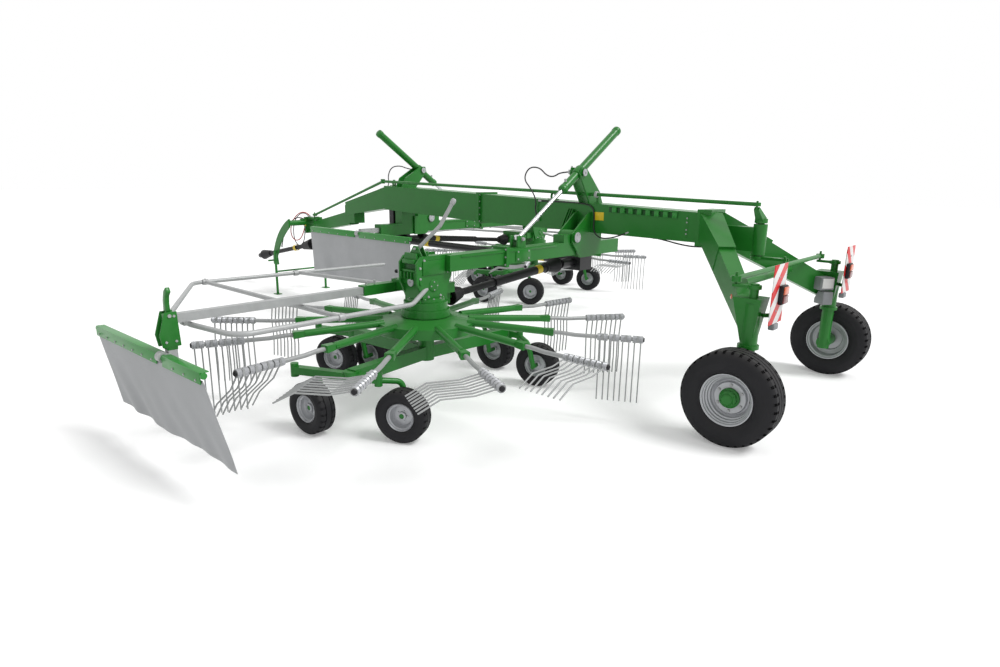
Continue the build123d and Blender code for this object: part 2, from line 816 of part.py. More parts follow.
for name, side, hub_ahead, hub_y, boom_ahead, guard_z in sides:
    hub_x = axle_x + hub_ahead
    boom_x = axle_x + boom_ahead
    gear_x = boom_x + shaft_offset
    pivot = (boom_x, side * boom_pivot_y, boom_pivot_z)
    pin = (boom_x, side * (boom_pivot_y + clevis_reach), clevis_z)
    trunnion = (boom_x, side * trunnion_y, trunnion_z)
    boom_end_y = hub_y - side * 130

    with BuildPart() as boom:
        start_y = side * (boom_pivot_y - 30)
        with Locations((boom_x, (start_y + boom_end_y) / 2, boom_z)):
            Box(boom_w, abs(boom_end_y - start_y), boom_h)
        with Locations((boom_x, side * (boom_pivot_y + 60), boom_z + 90)):
            Box(boom_w, 250, 120)
        add(tube((boom_x - boom_w / 2, pivot[1], pivot[2]), (boom_x + boom_w / 2, pivot[1], pivot[2]), 75))
        with Locations((boom_x, side * 1500, boom_z)):
            Box(boom_w + 50, 40, boom_h + 50)
        for end in (1, -1):
            with Locations((boom_x + end * 42, pin[1], boom_z + boom_h / 2 + 50)):
                Box(18, 120, 120)
        add(
            tube((boom_x - 90, pivot[1], pivot[2]), (boom_x + 90, pivot[1], pivot[2]), 30 + fit),
            mode=Mode.SUBTRACT,
        )
        # tower down to the drum: neck ring, core, two cheek plates and the outer end plate
        with Locations((hub_x, hub_y, drum_top + 15)):
            Cylinder(165, 30)
        with Locations((hub_x, hub_y - side * 10, (drum_top + tower_top - 15) / 2)):
            Box(2 * tower_half, 320, tower_top - 15 - drum_top)
        for start in (hub_x + tower_half, hub_x - tower_half - cheek_t):
            cheek = [
                (-200, 1170),
                (-200, tower_top),
                (150, tower_top),
                (200, 1290),
                (200, 1130),
                (120, 965),
                (-120, 965),
            ]
            add(plate_x([(hub_y + side * y, z) for y, z in cheek], start, cheek_t))
        end_plate = [(-125, 1110), (125, 1110), (70, tower_top + 25), (-70, tower_top + 25)]
        add(plate_y([(hub_x + x, z) for x, z in end_plate], hub_y + side * 160 - 8, 16))
        with Locations((hub_x, hub_y + side * 40, tower_top)):
            Cylinder(58, 60)
        if abs(boom_x - hub_x) > 150:
            with Locations(((boom_x + hub_x) / 2, boom_end_y, boom_z)):
                Box(abs(boom_x - hub_x) + boom_w, boom_h, boom_h)
        # input housing beside the drum
        with Locations(((gear_x + hub_x) / 2, hub_y - side * 160, 1040)):
            Box(abs(gear_x - hub_x) + 130, 260, 90)
        with Locations((gear_x, hub_y - side * 258, 960)):
            Box(110, 64, 150)
        add(tube((gear_x, hub_y - side * 280, shaft_out_z), (gear_x, hub_y - side * 345, shaft_out_z), 22))
        if side > 0:
            # sleeve of the outer curtain's sliding arm
            arm_x = axle_x + curtains[0][1]
            arm_at_z = curtains[0][3]
            with Locations(((hub_x + arm_x) / 2, hub_y + 60, arm_at_z + 20)):
                Box(arm_x - hub_x + 40, 120, 90)
            with Locations((arm_x, hub_y + 220, arm_at_z)):
                Box(curtain_arm_w + 24, 480, curtain_arm_w + 24)
                Box(curtain_arm_w + 2 * fit, 500, curtain_arm_w + 2 * fit, mode=Mode.SUBTRACT)
    write(boom.part, f"boom_{name}")

    with BuildPart() as undercarriage:
        with Locations((hub_x, hub_y, (420 + drum_top) / 2)):
            Cylinder(70, drum_top - 420)
        with Locations((hub_x, hub_y, (drum_low + drum_step) / 2)):
            Cylinder(drum_r, drum_step - drum_low)
        with Locations((hub_x, hub_y, (drum_step + drum_top) / 2)):
            Cylinder(drum_cap_r, drum_top - drum_step)
        for ahead, left, wheels in bogies:
            middle = (hub_x + ahead, hub_y + left, castor_z)
            add(bar((hub_x, hub_y, castor_z + 10), middle, 90, 110))
            with Locations(middle):
                Cylinder(62, 90)
            for letter, w_ahead, w_left, heading in small_wheels:
                if letter in dict(wheels):
                    at = wheel_place(hub_x, hub_y, w_ahead, w_left, heading)
                    add(castors[dict(wheels)[letter]].moved(at))
                    head = Plane(at).from_local_coords(Vector(trail, 0, castor_z - small_tyre_r))
                    add(bar(middle, (head.X, head.Y, head.Z), 70, 60))
    write(undercarriage.part, f"undercarriage_{name}")

    with BuildPart() as rotor_hub:
        with BuildSketch(Plane(origin=(hub_x, hub_y, 0), x_dir=(1, 0, 0), z_dir=(0, -1, 0))):
            with BuildLine():
                Polyline(
                    (70 + fit, arm_z - 60),
                    (hub_r, arm_z - 45),
                    (hub_r, arm_z + 40),
                    (drum_r + 20, drum_low - side_gap),
                    (70 + fit, drum_low - side_gap),
                    close=True,
                )
            make_face()
        revolve(axis=Axis((hub_x, hub_y, 0), (0, 0, 1)))
        for k in range(arms):
            angle = radians(first_arm - k * 360 / arms)
            spots = []
            for radius, z in (
                (380, arm_z + 38),
                (inner_arm_far - 90, arm_z + 13),
                (inner_arm_far, arm_z + 10),
                (arm_socket, arm_z + 10),
                (inner_arm_far + 20, arm_z + 10),
            ):
                spots.append((hub_x + radius * cos(angle), hub_y + radius * sin(angle), z))
            add(tube(spots[0], spots[1], inner_arm_r))
            add(taper_bar(spots[1], spots[2], (50, 50), (70, 56)))
            add(tube(spots[3], spots[4], outer_arm_r), mode=Mode.SUBTRACT)
    write(rotor_hub.part, f"rotor_{name}")

    arms_made = []
    for k in range(arms):
        place = Location((hub_x, hub_y, 0), (0, 0, first_arm - k * 360 / arms))
        arms_made.append(arm_kinds[arm_order[k]].moved(place))
    tine_arms = Part(Compound(children=[s for a in arms_made for s in a.solids()]).wrapped)
    write(tine_arms, f"tine_arms_{name}")

    for letter, ahead, left, heading in small_wheels:
        spot = wheel_place(hub_x, hub_y, ahead, left, heading)
        write(spot_wheel.moved(spot), f"wheel_{name}_{letter}")

    # lift cylinder
    plane, length = run(trunnion, pin)
    way = (Vector(*pin) - Vector(*trunnion)) / length

    def along(distance):
        point = Vector(*trunnion) + way * distance
        return (point.X, point.Y, point.Z)

    with BuildPart() as lift_barrel:
        add(tube(along(-barrel_tail), along(barrel_front), barrel_r))
        add(tube(along(-barrel_tail + 40), along(barrel_front + 10), lift_rod_r + fit), mode=Mode.SUBTRACT)
        for end in (1, -1):
            add(
                tube(
                    (boom_x + end * (barrel_r - 4), trunnion[1], trunnion[2]),
                    (boom_x + end * (barrel_r + side_gap + 34), trunnion[1], trunnion[2]),
                    trunnion_r,
                )
            )
    write(lift_barrel.part, f"lift_barrel_{name}")

    with BuildPart() as lift_rod:
        add(tube(along(180), along(length - 20), lift_rod_r))
        add(tube((boom_x - 28, pin[1], pin[2]), (boom_x + 28, pin[1], pin[2]), 34))
    write(lift_rod.part, f"lift_rod_{name}")

    # lateral drive shaft in two halves
    inner = (gear_x, side * shaft_in_y, shaft_in_z)
    outer = (gear_x, hub_y - side * 330, shaft_out_z)
    plane, length = run(inner, outer)
    way = (Vector(*outer) - Vector(*inner)) / length

    def reach(distance):
        point = Vector(*inner) + way * distance
        return (point.X, point.Y, point.Z)

    with BuildPart() as shaft_inner:
        add(tube(reach(100), reach(length * 0.62), shaft_r))
        add(tube(reach(160), reach(length * 0.63), 32 + fit), mode=Mode.SUBTRACT)
        add(cone(reach(-cone_mouth), reach(150), 85, shaft_r))
        add(cone(reach(-cone_mouth - 5), reach(60), 80, 52), mode=Mode.SUBTRACT)
        add(tube((gear_x - 78, inner[1], inner[2]), (gear_x + 78, inner[1], inner[2]), joint_pin_r))
    write(shaft_inner.part, f"shaft_inner_{name}")
    with BuildPart() as shaft_outer:
        add(tube(reach(length * 0.3), reach(length - 80), 32))
        add(cone(reach(length - 150), reach(length), 46, 90))
        add(cone(reach(length - 75), reach(length + 5), 60, 84), mode=Mode.SUBTRACT)
    write(shaft_outer.part, f"shaft_outer_{name}")

    # guard hoops, given by x, y towards the outside and z from the hub
    foot_x = 327 if side > 0 else tower_half + 6
    hoops = (
        [(1800, -1000, guard_z), (1950, 1130, guard_z), (700, 1860, guard_z), (290, 1880, guard_z)],
        [(-80, 40, 1080), (-205, 330, guard_z), (-215, 1820, guard_z), (290, 1880, guard_z)],
        [(-205, 1020, guard_z), (1940, 1020, guard_z)],
        [(1870, 60, guard_z), (foot_x, 60, 1045)],
    )
    with BuildPart() as guard:
        for hoop in hoops:
            points = [(hub_x + x, hub_y + side * y, z) for x, y, z in hoop]
            if len(points) > 2:
                add(bent_tube(points, guard_r, 150))
            else:
                add(tube(points[0], points[1], guard_r))
        add(boom.part, mode=Mode.SUBTRACT)
    write(guard.part, f"guard_{name}")

# ---- curtains --------------------------------------------------------------------------------

for name, arm_ahead, arm_y, arm_at_z, middle, rail_y, rail_z, half_rail, drop, swept in curtains:
    arm_x = axle_x + arm_ahead
    rail_at = rail_y + rail_out
    half_arm = curtain_arm_w / 2
    with BuildPart() as curtain_arm:
        with Locations((arm_x, (arm_y + rail_y - 40) / 2, arm_at_z)):
            Box(curtain_arm_w, rail_y - 40 - arm_y, curtain_arm_w)
        with Locations((arm_x, rail_y - 40, (arm_at_z + rail_z) / 2)):
            Box(curtain_arm_w, curtain_arm_w, abs(arm_at_z - rail_z) + curtain_arm_w)
        with Locations((arm_x, rail_y - 5, rail_z)):
            Box(curtain_arm_w, rail_out + 40, 44)
        add(tube((arm_x - half_arm, rail_at, rail_z), (arm_x + half_arm, rail_at, rail_z), collar_r))
        add(
            tube((arm_x - 100, rail_at, rail_z), (arm_x + 100, rail_at, rail_z), rail_r + fit),
            mode=Mode.SUBTRACT,
        )
    write(curtain_arm.part, f"curtain_arm_{name}")
    rear = axle_x + middle - half_rail
    front = axle_x + middle + half_rail
    low = rail_z - drop
    cloth = [(rear, rail_z), (front, rail_z), (front - swept, low), (rear - swept, low)]
    with BuildPart() as curtain:
        add(plate_y(cloth, rail_at - 5, 10))
        # clamp strip along the rail
        with Locations(((rear + front) / 2 - 20, rail_at, rail_z - 40)):
            Box(2 * half_rail - 80, 24, 70)
        add(
            tube(
                (arm_x - half_arm - side_gap, rail_at, rail_z),
                (arm_x + half_arm + side_gap, rail_at, rail_z),
                collar_r + side_gap,
            ),
            mode=Mode.SUBTRACT,
        )
        add(tube((rear, rail_at, rail_z), (front, rail_at, rail_z), rail_r))
    write(curtain.part, f"curtain_{name}")
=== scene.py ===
import json
import math

import bmesh
import bpy
from mathutils import Matrix, Quaternion, Vector


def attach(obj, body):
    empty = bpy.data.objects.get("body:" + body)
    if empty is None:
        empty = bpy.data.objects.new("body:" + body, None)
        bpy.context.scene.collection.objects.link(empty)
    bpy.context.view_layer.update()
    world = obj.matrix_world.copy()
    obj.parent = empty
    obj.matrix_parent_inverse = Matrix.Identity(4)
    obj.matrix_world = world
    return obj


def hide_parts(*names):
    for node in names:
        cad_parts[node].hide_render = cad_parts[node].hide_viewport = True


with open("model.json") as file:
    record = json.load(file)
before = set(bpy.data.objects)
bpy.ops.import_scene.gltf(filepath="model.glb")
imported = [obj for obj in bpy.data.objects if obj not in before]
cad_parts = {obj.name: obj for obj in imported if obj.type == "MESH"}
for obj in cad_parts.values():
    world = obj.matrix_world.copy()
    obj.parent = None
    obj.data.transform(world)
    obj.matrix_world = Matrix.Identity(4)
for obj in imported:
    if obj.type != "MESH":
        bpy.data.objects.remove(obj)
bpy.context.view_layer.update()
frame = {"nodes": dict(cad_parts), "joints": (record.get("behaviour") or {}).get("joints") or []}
joints = {j["name"]: j for j in frame["joints"]}
places = {name: j.get("pos_m") for name, j in joints.items()}
sides = (("left", 1), ("right", -1))
print("frame loaded")


def addObject(name, data):
    made = bpy.data.objects.new(name, data)
    bpy.context.scene.collection.objects.link(made)
    return made


def meshFrom(bm, name):
    mesh = bpy.data.meshes.new(name)
    bm.to_mesh(mesh)
    bm.free()
    return mesh


# camera, floor, sky and lamp

view = {
    "place": (-6.3144, 6.0976, 2.0167),
    "heading": -49.02,  # degrees from +X, anticlockwise
    "tip": 14.6,  # degrees below level
    "roll": 1.11,
    "lens": 23.29,
    "sensor": 36,
    "shiftY": 0.0093,
    "reach": 200,
}


def aimCamera():
    heading, tip = math.radians(view["heading"]), math.radians(view["tip"])
    way = Vector((math.cos(tip) * math.cos(heading), math.cos(tip) * math.sin(heading), -math.sin(tip)))
    turn = way.to_track_quat("-Z", "Y") @ Quaternion((0, 0, 1), math.radians(view["roll"]))
    data = bpy.data.cameras.new("camera")
    data.lens = view["lens"]
    data.sensor_width = view["sensor"]
    data.shift_y = view["shiftY"]
    data.clip_end = view["reach"]
    camera = addObject("camera", data)
    camera.matrix_world = Matrix.Translation(view["place"]) @ turn.to_matrix().to_4x4()
    bpy.context.scene.camera = camera


light = {
    "sky": 0.62,
    "sunPower": 2.1,
    "sunSpread": 22,  # degrees, for soft shadows
    "sunTurn": (38, 8, -75),
    "floorColour": (0.86, 0.86, 0.86, 1),
    "floorRough": 0.95,
    "floorGlow": 0.2,
    "floorHalf": 60,
    "floorDrop": 0.002,
}


# shader nodes: an input takes a value, or the socket that feeds it

def plug(node, inputs):
    for name, value in inputs.items():
        if isinstance(value, bpy.types.NodeSocket):
            node.id_data.links.new(value, node.inputs[name])
        else:
            node.inputs[name].default_value = value


def addNode(tree, kind, output, inputs={}, **settings):
    # gives the new node's named output
    node = tree.nodes.new("ShaderNode" + kind)
    for name, value in settings.items():
        setattr(node, name, value)
    plug(node, inputs)
    return node.outputs[output]


def addMath(tree, operation, *values):
    return addNode(tree, "Math", 0, dict(enumerate(values)), operation=operation)


def mixColours(tree, share, first, second):
    inputs = {"Factor": share, "A": first, "B": second}
    return addNode(tree, "Mix", "Result", inputs, data_type="RGBA")


def seenRays(tree):
    # 1 for rays that show the pale background: straight, glossy or let through
    straight, glossy, through = (
        addNode(tree, "LightPath", f"Is {kind} Ray") for kind in ("Camera", "Glossy", "Transmission")
    )
    return addMath(tree, "MAXIMUM", addMath(tree, "MAXIMUM", straight, glossy), through)


def setLight():
    world = bpy.data.worlds.new("studio")
    world.use_nodes = True
    tree = world.node_tree
    levels = {"To Min": light["sky"], "To Max": 1, "Value": seenRays(tree)}
    level = addNode(tree, "MapRange", "Result", levels)
    plug(tree.nodes["Background"], {"Color": (1, 1, 1, 1), "Strength": level})
    bpy.context.scene.world = world
    sun = bpy.data.lights.new("sun", "SUN")
    sun.energy = light["sunPower"]
    sun.angle = math.radians(light["sunSpread"])
    addObject("sun", sun).rotation_euler = [math.radians(a) for a in light["sunTurn"]]


def layFloor():
    mat = bpy.data.materials.new("paleFloor")
    mat.use_nodes = True
    tree = mat.node_tree
    plug(tree.nodes["Principled BSDF"], {
        "Base Color": light["floorColour"], "Roughness": light["floorRough"],
        "Emission Color": (1, 1, 1, 1),
        "Emission Strength": addMath(tree, "MULTIPLY", seenRays(tree), light["floorGlow"]),
    })
    bm = bmesh.new()
    bmesh.ops.create_grid(bm, x_segments=2, y_segments=2, size=light["floorHalf"])
    mesh = meshFrom(bm, "floor")
    mesh.materials.append(mat)
    floor = addObject("floor", mesh)
    floor.location.z = -light["floorDrop"]


aimCamera()
setLight()
layFloor()
bpy.context.scene.view_settings.view_transform = "Standard"
print("view and light set")


# finishes, with the columns' names first; grain is the scale of the clouds in the colour

finishColumns = ("colour", "rough", "metal", "shine", "coat", "dust", "grain")
finishes = {
    "greenPaint": ((0.014, 0.17, 0.018), 0.34, 0, 0.28, 0.12, 0.05, 3.5),
    # painted shade: a darker green for gaps and slots, where shade falls
    "darkGreenPaint": ((0.006, 0.07, 0.01), 0.4, 0, 0.25, 0.05, 0.05, 3.5),
    "lightGreenPaint": ((0.028, 0.24, 0.036), 0.36, 0, 0.3, 0.12, 0.05, 3.5),
    "galvanised": ((0.4, 0.41, 0.41), 0.46, 0.2, 0.4, 0, 0.05, 14),
    "silverPaint": ((0.44, 0.45, 0.47), 0.36, 0.3, 0.5, 0.1, 0.06, 6),
    "tineSteel": ((0.33, 0.34, 0.34), 0.42, 0.25, 0.5, 0, 0.05, 20),
    "chromeRod": ((0.62, 0.63, 0.65), 0.14, 0.9, 0.5, 0, 0.02, 8),
    "blackPaint": ((0.01, 0.01, 0.012), 0.4, 0, 0.35, 0.1, 0.06, 5),
    "blackPlastic": ((0.009, 0.009, 0.011), 0.5, 0, 0.3, 0, 0.06, 9),
    "whitePaint": ((0.7, 0.7, 0.69), 0.4, 0, 0.4, 0.1, 0.04, 8),
    "curtainCloth": ((0.39, 0.4, 0.41), 0.62, 0, 0.3, 0, 0.05, 3),
    "tyreRubber": ((0.01, 0.01, 0.012), 0.66, 0, 0.3, 0, 0.06, 7),
    "greyPlastic": ((0.22, 0.23, 0.24), 0.5, 0, 0.4, 0, 0.06, 9),
    "yellowPaint": ((0.72, 0.52, 0.015), 0.4, 0, 0.4, 0.1, 0.03, 9),
    "orangeLens": ((0.62, 0.09, 0.008), 0.22, 0, 0.5, 0.5, 0, 30),
    "redLens": ((0.16, 0.008, 0.006), 0.2, 0, 0.5, 0.5, 0, 30),
    "redHose": ((0.45, 0.02, 0.015), 0.4, 0, 0.4, 0.1, 0.04, 12),
    "blackHose": ((0.011, 0.011, 0.012), 0.45, 0, 0.4, 0.05, 0.04, 18),
}
weathering = {
    "darkest": 0.82,  # times the colour
    "brightest": 1.16,
    "glossiest": 0.8,  # times the roughness
    "dullest": 1.25,
    "coatRough": 0.12,
    "dustColour": (0.42, 0.38, 0.31, 1),
    "dustFrom": 0.2,  # how far a face looks up before dust lies on it
    "fineGrain": 45,  # times the grain
    "bump": 0.12,
    "bumpHeight": 0.002,
}


def makeFinish(name):
    f = dict(zip(finishColumns, finishes[name]))
    w = weathering
    mat = bpy.data.materials.new(name)
    mat.use_nodes = True
    tree = mat.node_tree
    place = addNode(tree, "TexCoord", "Object")
    clouds = {"Scale": f["grain"], "Detail": 6, "Roughness": 0.6, "Vector": place}
    cloud = addNode(tree, "TexNoise", "Fac", clouds)
    specks = {"Scale": f["grain"] * w["fineGrain"], "Detail": 3, "Vector": place}
    fine = addNode(tree, "TexNoise", "Fac", specks)
    darker, brighter = ((*(min(1, c * w[k]) for c in f["colour"]), 1) for k in ("darkest", "brightest"))
    shade = mixColours(tree, cloud, darker, brighter)
    # dust gathers on upward faces
    normal = addNode(tree, "NewGeometry", "Normal")
    up = addNode(tree, "SeparateXYZ", "Z", {"Vector": normal})
    lies = {"From Min": w["dustFrom"], "From Max": 1, "To Max": f["dust"], "Value": up}
    patch = addMath(tree, "MULTIPLY", addNode(tree, "MapRange", "Result", lies), cloud)
    gloss = {"To Min": f["rough"] * w["glossiest"], "To Max": f["rough"] * w["dullest"], "Value": cloud}
    bump = {"Strength": w["bump"], "Distance": w["bumpHeight"], "Height": fine}
    plug(tree.nodes["Principled BSDF"], {
        "Metallic": f["metal"], "Specular IOR Level": f["shine"], "Coat Weight": f["coat"],
        "Coat Roughness": w["coatRough"], "Base Color": mixColours(tree, patch, shade, w["dustColour"]),
        "Roughness": addNode(tree, "MapRange", "Result", gloss),
        "Normal": addNode(tree, "Bump", "Normal", bump),
    })
    return mat


stripes = {"width": 0.11, "red": (0.6, 0.012, 0.014, 1), "shift": {"left": 0.02, "right": 0.05}}


def makeStripes(name, lean):
    # red and white bars across the board at 45 degrees, in Object coordinates
    mat = makeFinish("whitePaint")
    mat.name = "stripes_" + name
    tree = mat.node_tree
    shader = tree.nodes["Principled BSDF"]
    place = addNode(tree, "TexCoord", "Object")
    level, height = (addNode(tree, "SeparateXYZ", axis, {"Vector": place}) for axis in "YZ")
    across = addMath(tree, "MULTIPLY_ADD", level, lean, height)
    shifted = addMath(tree, "ADD", across, stripes["shift"][name])
    wrapped = addMath(tree, "PINGPONG", shifted, stripes["width"])
    half = addMath(tree, "GREATER_THAN", wrapped, stripes["width"] / 2)
    white = shader.inputs["Base Color"].links[0].from_socket
    plug(shader, {"Base Color": mixColours(tree, half, white, stripes["red"])})
    return mat


weave = {"threads": 160, "bump": 0.18, "bumpHeight": 0.0008, "sheen": 0.15}


def weaveCloth(mat):
    # coated fabric: warp and weft in the bump
    tree = mat.node_tree
    threads = {"Scale": weave["threads"], "Vector": addNode(tree, "TexCoord", "Object")}
    both = addMath(
        tree, "MAXIMUM", *(addNode(tree, "TexWave", "Fac", threads, bands_direction=way) for way in "XZ")
    )
    bump = {"Strength": weave["bump"], "Distance": weave["bumpHeight"], "Height": both}
    normal = addNode(tree, "Bump", "Normal", bump)
    plug(tree.nodes["Principled BSDF"], {"Sheen Weight": weave["sheen"], "Normal": normal})
    return mat


finish = {name: makeFinish(name) for name in finishes}
for name, side in sides:
    finish["stripes_" + name] = makeStripes(name, side)
finish["curtainCloth"] = weaveCloth(makeFinish("curtainCloth"))

# what the solids wear, by the start of their names; the rest is green
wears = {
    "tyre": "tyreRubber", "wheel": "tyreRubber", "rim": "silverPaint", "tine_arms": "tineSteel",
    "guard": "galvanised", "curtain_arm": "galvanised", "curtain": "greyPlastic", "lift_rod": "chromeRod",
    "shaft": "blackPlastic", "pto_shaft": "blackPlastic", "drive_yoke": "blackPaint",
    "drive_line": "blackPaint", "warning_boards": "orangeLens",
}
for name, node in frame["nodes"].items():
    kind = max((k for k in wears if name.startswith(k)), key=len, default=None)
    node.data.materials.clear()
    node.data.materials.append(finish[wears[kind] if kind else "greenPaint"])
print("finishes given")


# shared ways to add a shape to a bmesh

def aimed(origin, way):
    # matrix that puts local Z along way and the origin at origin
    return Matrix.Translation(origin) @ Vector(way).to_track_quat("Z", "Y").to_matrix().to_4x4()


def turned(share):
    # share of a full turn about Z
    return Matrix.Rotation(math.tau * share, 4, "Z")


acrossX = Matrix(((0, 0, 1, 0), (1, 0, 0, 0), (0, 1, 0, 0), (0, 0, 0, 1)))  # drawn in (y, z), grows along X
acrossY = Matrix.Rotation(math.pi / 2, 4, "X")  # drawn in (x, z), grows along -Y


def facesOf(verts):
    return {f for v in verts for f in v.link_faces}


def addRod(bm, start, end, radius, sides=16, mat=0, endRadius=None):
    start, end = Vector(start), Vector(end)
    way = end - start
    made = bmesh.ops.create_cone(
        bm, cap_ends=True, segments=sides, radius1=radius, depth=way.length,
        radius2=radius if endRadius is None else endRadius, matrix=aimed((start + end) / 2, way),
    )
    for face in facesOf(made["verts"]):
        face.material_index = mat


bolt = {"washer": 1.15, "washerUp": 0.12, "seat": 0.002, "head": 0.75, "tip": 0.94}  # times its size


def addBolt(bm, origin, way, size, mat=0):
    # washer sunk a little into its seat, and a six-sided head
    way, origin = Vector(way).normalized(), Vector(origin)
    washerTop = origin + way * size * bolt["washerUp"]
    addRod(bm, origin - way * bolt["seat"], washerTop, size * bolt["washer"], 14, mat)
    addRod(bm, origin, origin + way * size * bolt["head"], size, 6, mat, size * bolt["tip"])


def addBoltRing(bm, place, count, radius, height, size, mat, shift=0):
    # bolts round the place's Z
    for k in range(count):
        spot = place @ turned((k + shift) / count) @ Vector((radius, 0, height))
        addBolt(bm, spot, place.to_3x3() @ Vector((0, 0, 1)), size, mat)


def mirrored(half):
    # lower half of a profile, then its image above
    return [*half, *((r, -h) for r, h in reversed(half))]


def bevelEdges(bm, faces, width):
    edges = {e for f in faces for e in f.edges}
    bmesh.ops.bevel(
        bm, geom=list(edges), offset=width, segments=2, profile=0.5, affect="EDGES", material=-1
    )


def addBlock(bm, place, size, bevel=0.004, mat=0):
    matrix = place if isinstance(place, Matrix) else Matrix.Translation(place)
    made = bmesh.ops.create_cube(bm, size=1, matrix=matrix @ Matrix.Diagonal((*size, 1)))
    faces = facesOf(made["verts"])
    for face in faces:
        face.material_index = mat
    bevelEdges(bm, faces, bevel)


def addPlate(bm, outline, place, thickness, bevel=0.003, mat=0):
    # outline lies in the place's XY plane, and the plate grows along its Z
    verts = [bm.verts.new((x, y, 0)) for x, y in outline]
    grown = bmesh.ops.extrude_face_region(bm, geom=[bm.faces.new(verts)])
    lifted = [g for g in grown["geom"] if isinstance(g, bmesh.types.BMVert)]
    bmesh.ops.translate(bm, vec=(0, 0, thickness), verts=lifted)
    faces = facesOf(verts + lifted)
    bmesh.ops.recalc_face_normals(bm, faces=list(faces))
    for f in faces:
        f.material_index = mat
    bmesh.ops.transform(bm, matrix=place, verts=verts + lifted)
    bevelEdges(bm, faces, bevel)


def addSpun(bm, profile, place, steps=48, mat=0):
    # closed profile of (radius, height), spun about the place's Z
    verts = [bm.verts.new((r, 0, h)) for r, h in profile]
    edges = [bm.edges.new((verts[k - 1], verts[k])) for k in range(len(verts))]
    before = set(bm.faces)
    bmesh.ops.spin(
        bm, geom=verts + edges, cent=(0, 0, 0), axis=(0, 0, 1), angle=math.tau, steps=steps,
        use_merge=True,
    )
    spun = {v for f in bm.faces if f not in before for v in f.verts}
    pole = [v for v in spun if math.hypot(v.co.x, v.co.y) < 1e-5]
    bmesh.ops.remove_doubles(bm, verts=pole, dist=1e-5)
    made = [f for f in bm.faces if f not in before]
    bmesh.ops.recalc_face_normals(bm, faces=made)
    for f in made:
        f.material_index = mat
    bmesh.ops.transform(bm, matrix=place, verts=list({v for f in made for v in f.verts}))
    return made


def finishPiece(name, bm, mats, body, sharp=38):
    # mats: finishes for the slots, with spaces between
    mesh = meshFrom(bm, name)
    for mat in mats.split():
        mesh.materials.append(finish[mat])
    mesh.shade_smooth()
    mesh.set_sharp_from_angle(angle=math.radians(sharp))
    piece = addObject(name, mesh)
    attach(piece, body)
    return piece


def wheelPlace(jointName):
    # wheel's middle, with Z along its axle to the machine's left
    return aimed(places[jointName], joints[jointName]["axis"])


# tyres with grooves and shoulder blocks

tyreLooks = {
    "rear": dict(
        radius=0.38, width=0.264, rim=0.2075, steps=108, grooves=(-0.048, 0, 0.048), gap=0.01,
        depth=0.009, lugs=3,
    ),
    "small": dict(
        radius=0.21, width=0.165, rim=0.1123, steps=72, grooves=(-0.026, 0.026), gap=0.007,
        depth=0.006, lugs=3,
    ),
}
# sidewall: share of the way out from the rim, and share of the width from the middle
sidewall = (
    (0, 0.35), (0.04, 0.395), (0.1, 0.41), (0.13, 0.435), (0.3, 0.48), (0.5, 0.497), (0.53, 0.5),
    (0.56, 0.494), (0.74, 0.47), (0.86, 0.438), (0.95, 0.385),
)


def tyreProfile(look):
    r, w, rim = look["radius"], look["width"], look["rim"]
    wall = [(rim + up * (r - rim), out) for up, out in sidewall] + [(r - 0.001, 0.345)]
    crown = []
    for middle in look["grooves"]:
        for edge, sunk in ((-0.5, 0), (-0.5, 1), (0.5, 1), (0.5, 0)):
            crown.append((r - look["depth"] * sunk, middle + edge * look["gap"] * (1 - 0.3 * sunk)))
    left = [(radius, -share * w) for radius, share in wall]
    right = [(radius, share * w) for radius, share in reversed(wall)]
    return left + crown + right


def addTyre(bm, look, place):
    faces = addSpun(bm, tyreProfile(look), Matrix(), look["steps"])
    turn = math.tau / look["steps"]
    edge = look["grooves"][-1] + look["gap"] * 0.6
    shoulder = look["radius"] - 0.12 * (look["radius"] - look["rim"])
    cuts = []
    for f in faces:
        c = f.calc_center_median()
        k = round(math.atan2(c.y, c.x) / turn - 0.5)
        shift = 1 if c.z > 0 else 0
        if math.hypot(c.x, c.y) > shoulder and abs(c.z) > edge and (k + shift) % look["lugs"] == 0:
            cuts.append(f)
    sunk = bmesh.ops.extrude_discrete_faces(bm, faces=cuts)
    for f in sunk["faces"]:
        for v in f.verts:
            flat = Vector((v.co.x, v.co.y, 0)).normalized()
            v.co -= flat * look["depth"] * 0.8
    bmesh.ops.transform(bm, matrix=place, verts=list(bm.verts))


def makeRearTyre(side):
    bm = bmesh.new()
    addTyre(bm, tyreLooks["rear"], wheelPlace("road_wheel_spin_" + side))
    piece = finishPiece("rearTyre_" + side, bm, "tyreRubber", "road_wheel_" + side, 30)
    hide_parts("tyre_" + side)


smallRim = {
    "profile": [
        (0.1118, -0.064), (0.1075, -0.068), (0.101, -0.062), (0.098, -0.046), (0.09, -0.04),
        (0.084, -0.006), (0.052, 0.003), (0.0206, 0.003), (0.0206, 0.012), (0.05, 0.013), (0.078, 0.006),
        (0.088, 0.02), (0.093, 0.044), (0.101, 0.049), (0.104, 0.063), (0.1085, 0.068), (0.1118, 0.064),
    ],
    "barrel": [(0.0206, -0.03), (0.031, -0.03), (0.033, 0.03), (0.0206, 0.034)],
    "bolts": (5, 0.042, 0.0125, 0.0075),  # count, circle, height, size
}


def makeSmallWheel(side, letter):
    # tyre, silver rim, and a hub barrel round the axle stub
    name = f"wheel_{side}_{letter}"
    r = smallRim
    bm = bmesh.new()
    addTyre(bm, tyreLooks["small"], Matrix())
    addSpun(bm, r["profile"], Matrix(), 48, 1)
    addSpun(bm, r["barrel"], Matrix(), 32, 1)
    addBoltRing(bm, Matrix(), *r["bolts"], 1)
    place = wheelPlace(f"wheel_spin_{side}_{letter}")
    bmesh.ops.transform(bm, matrix=place, verts=list(bm.verts))
    piece = finishPiece(f"smallWheel_{side}_{letter}", bm, "tyreRubber silverPaint", name, 30)
    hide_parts(name)


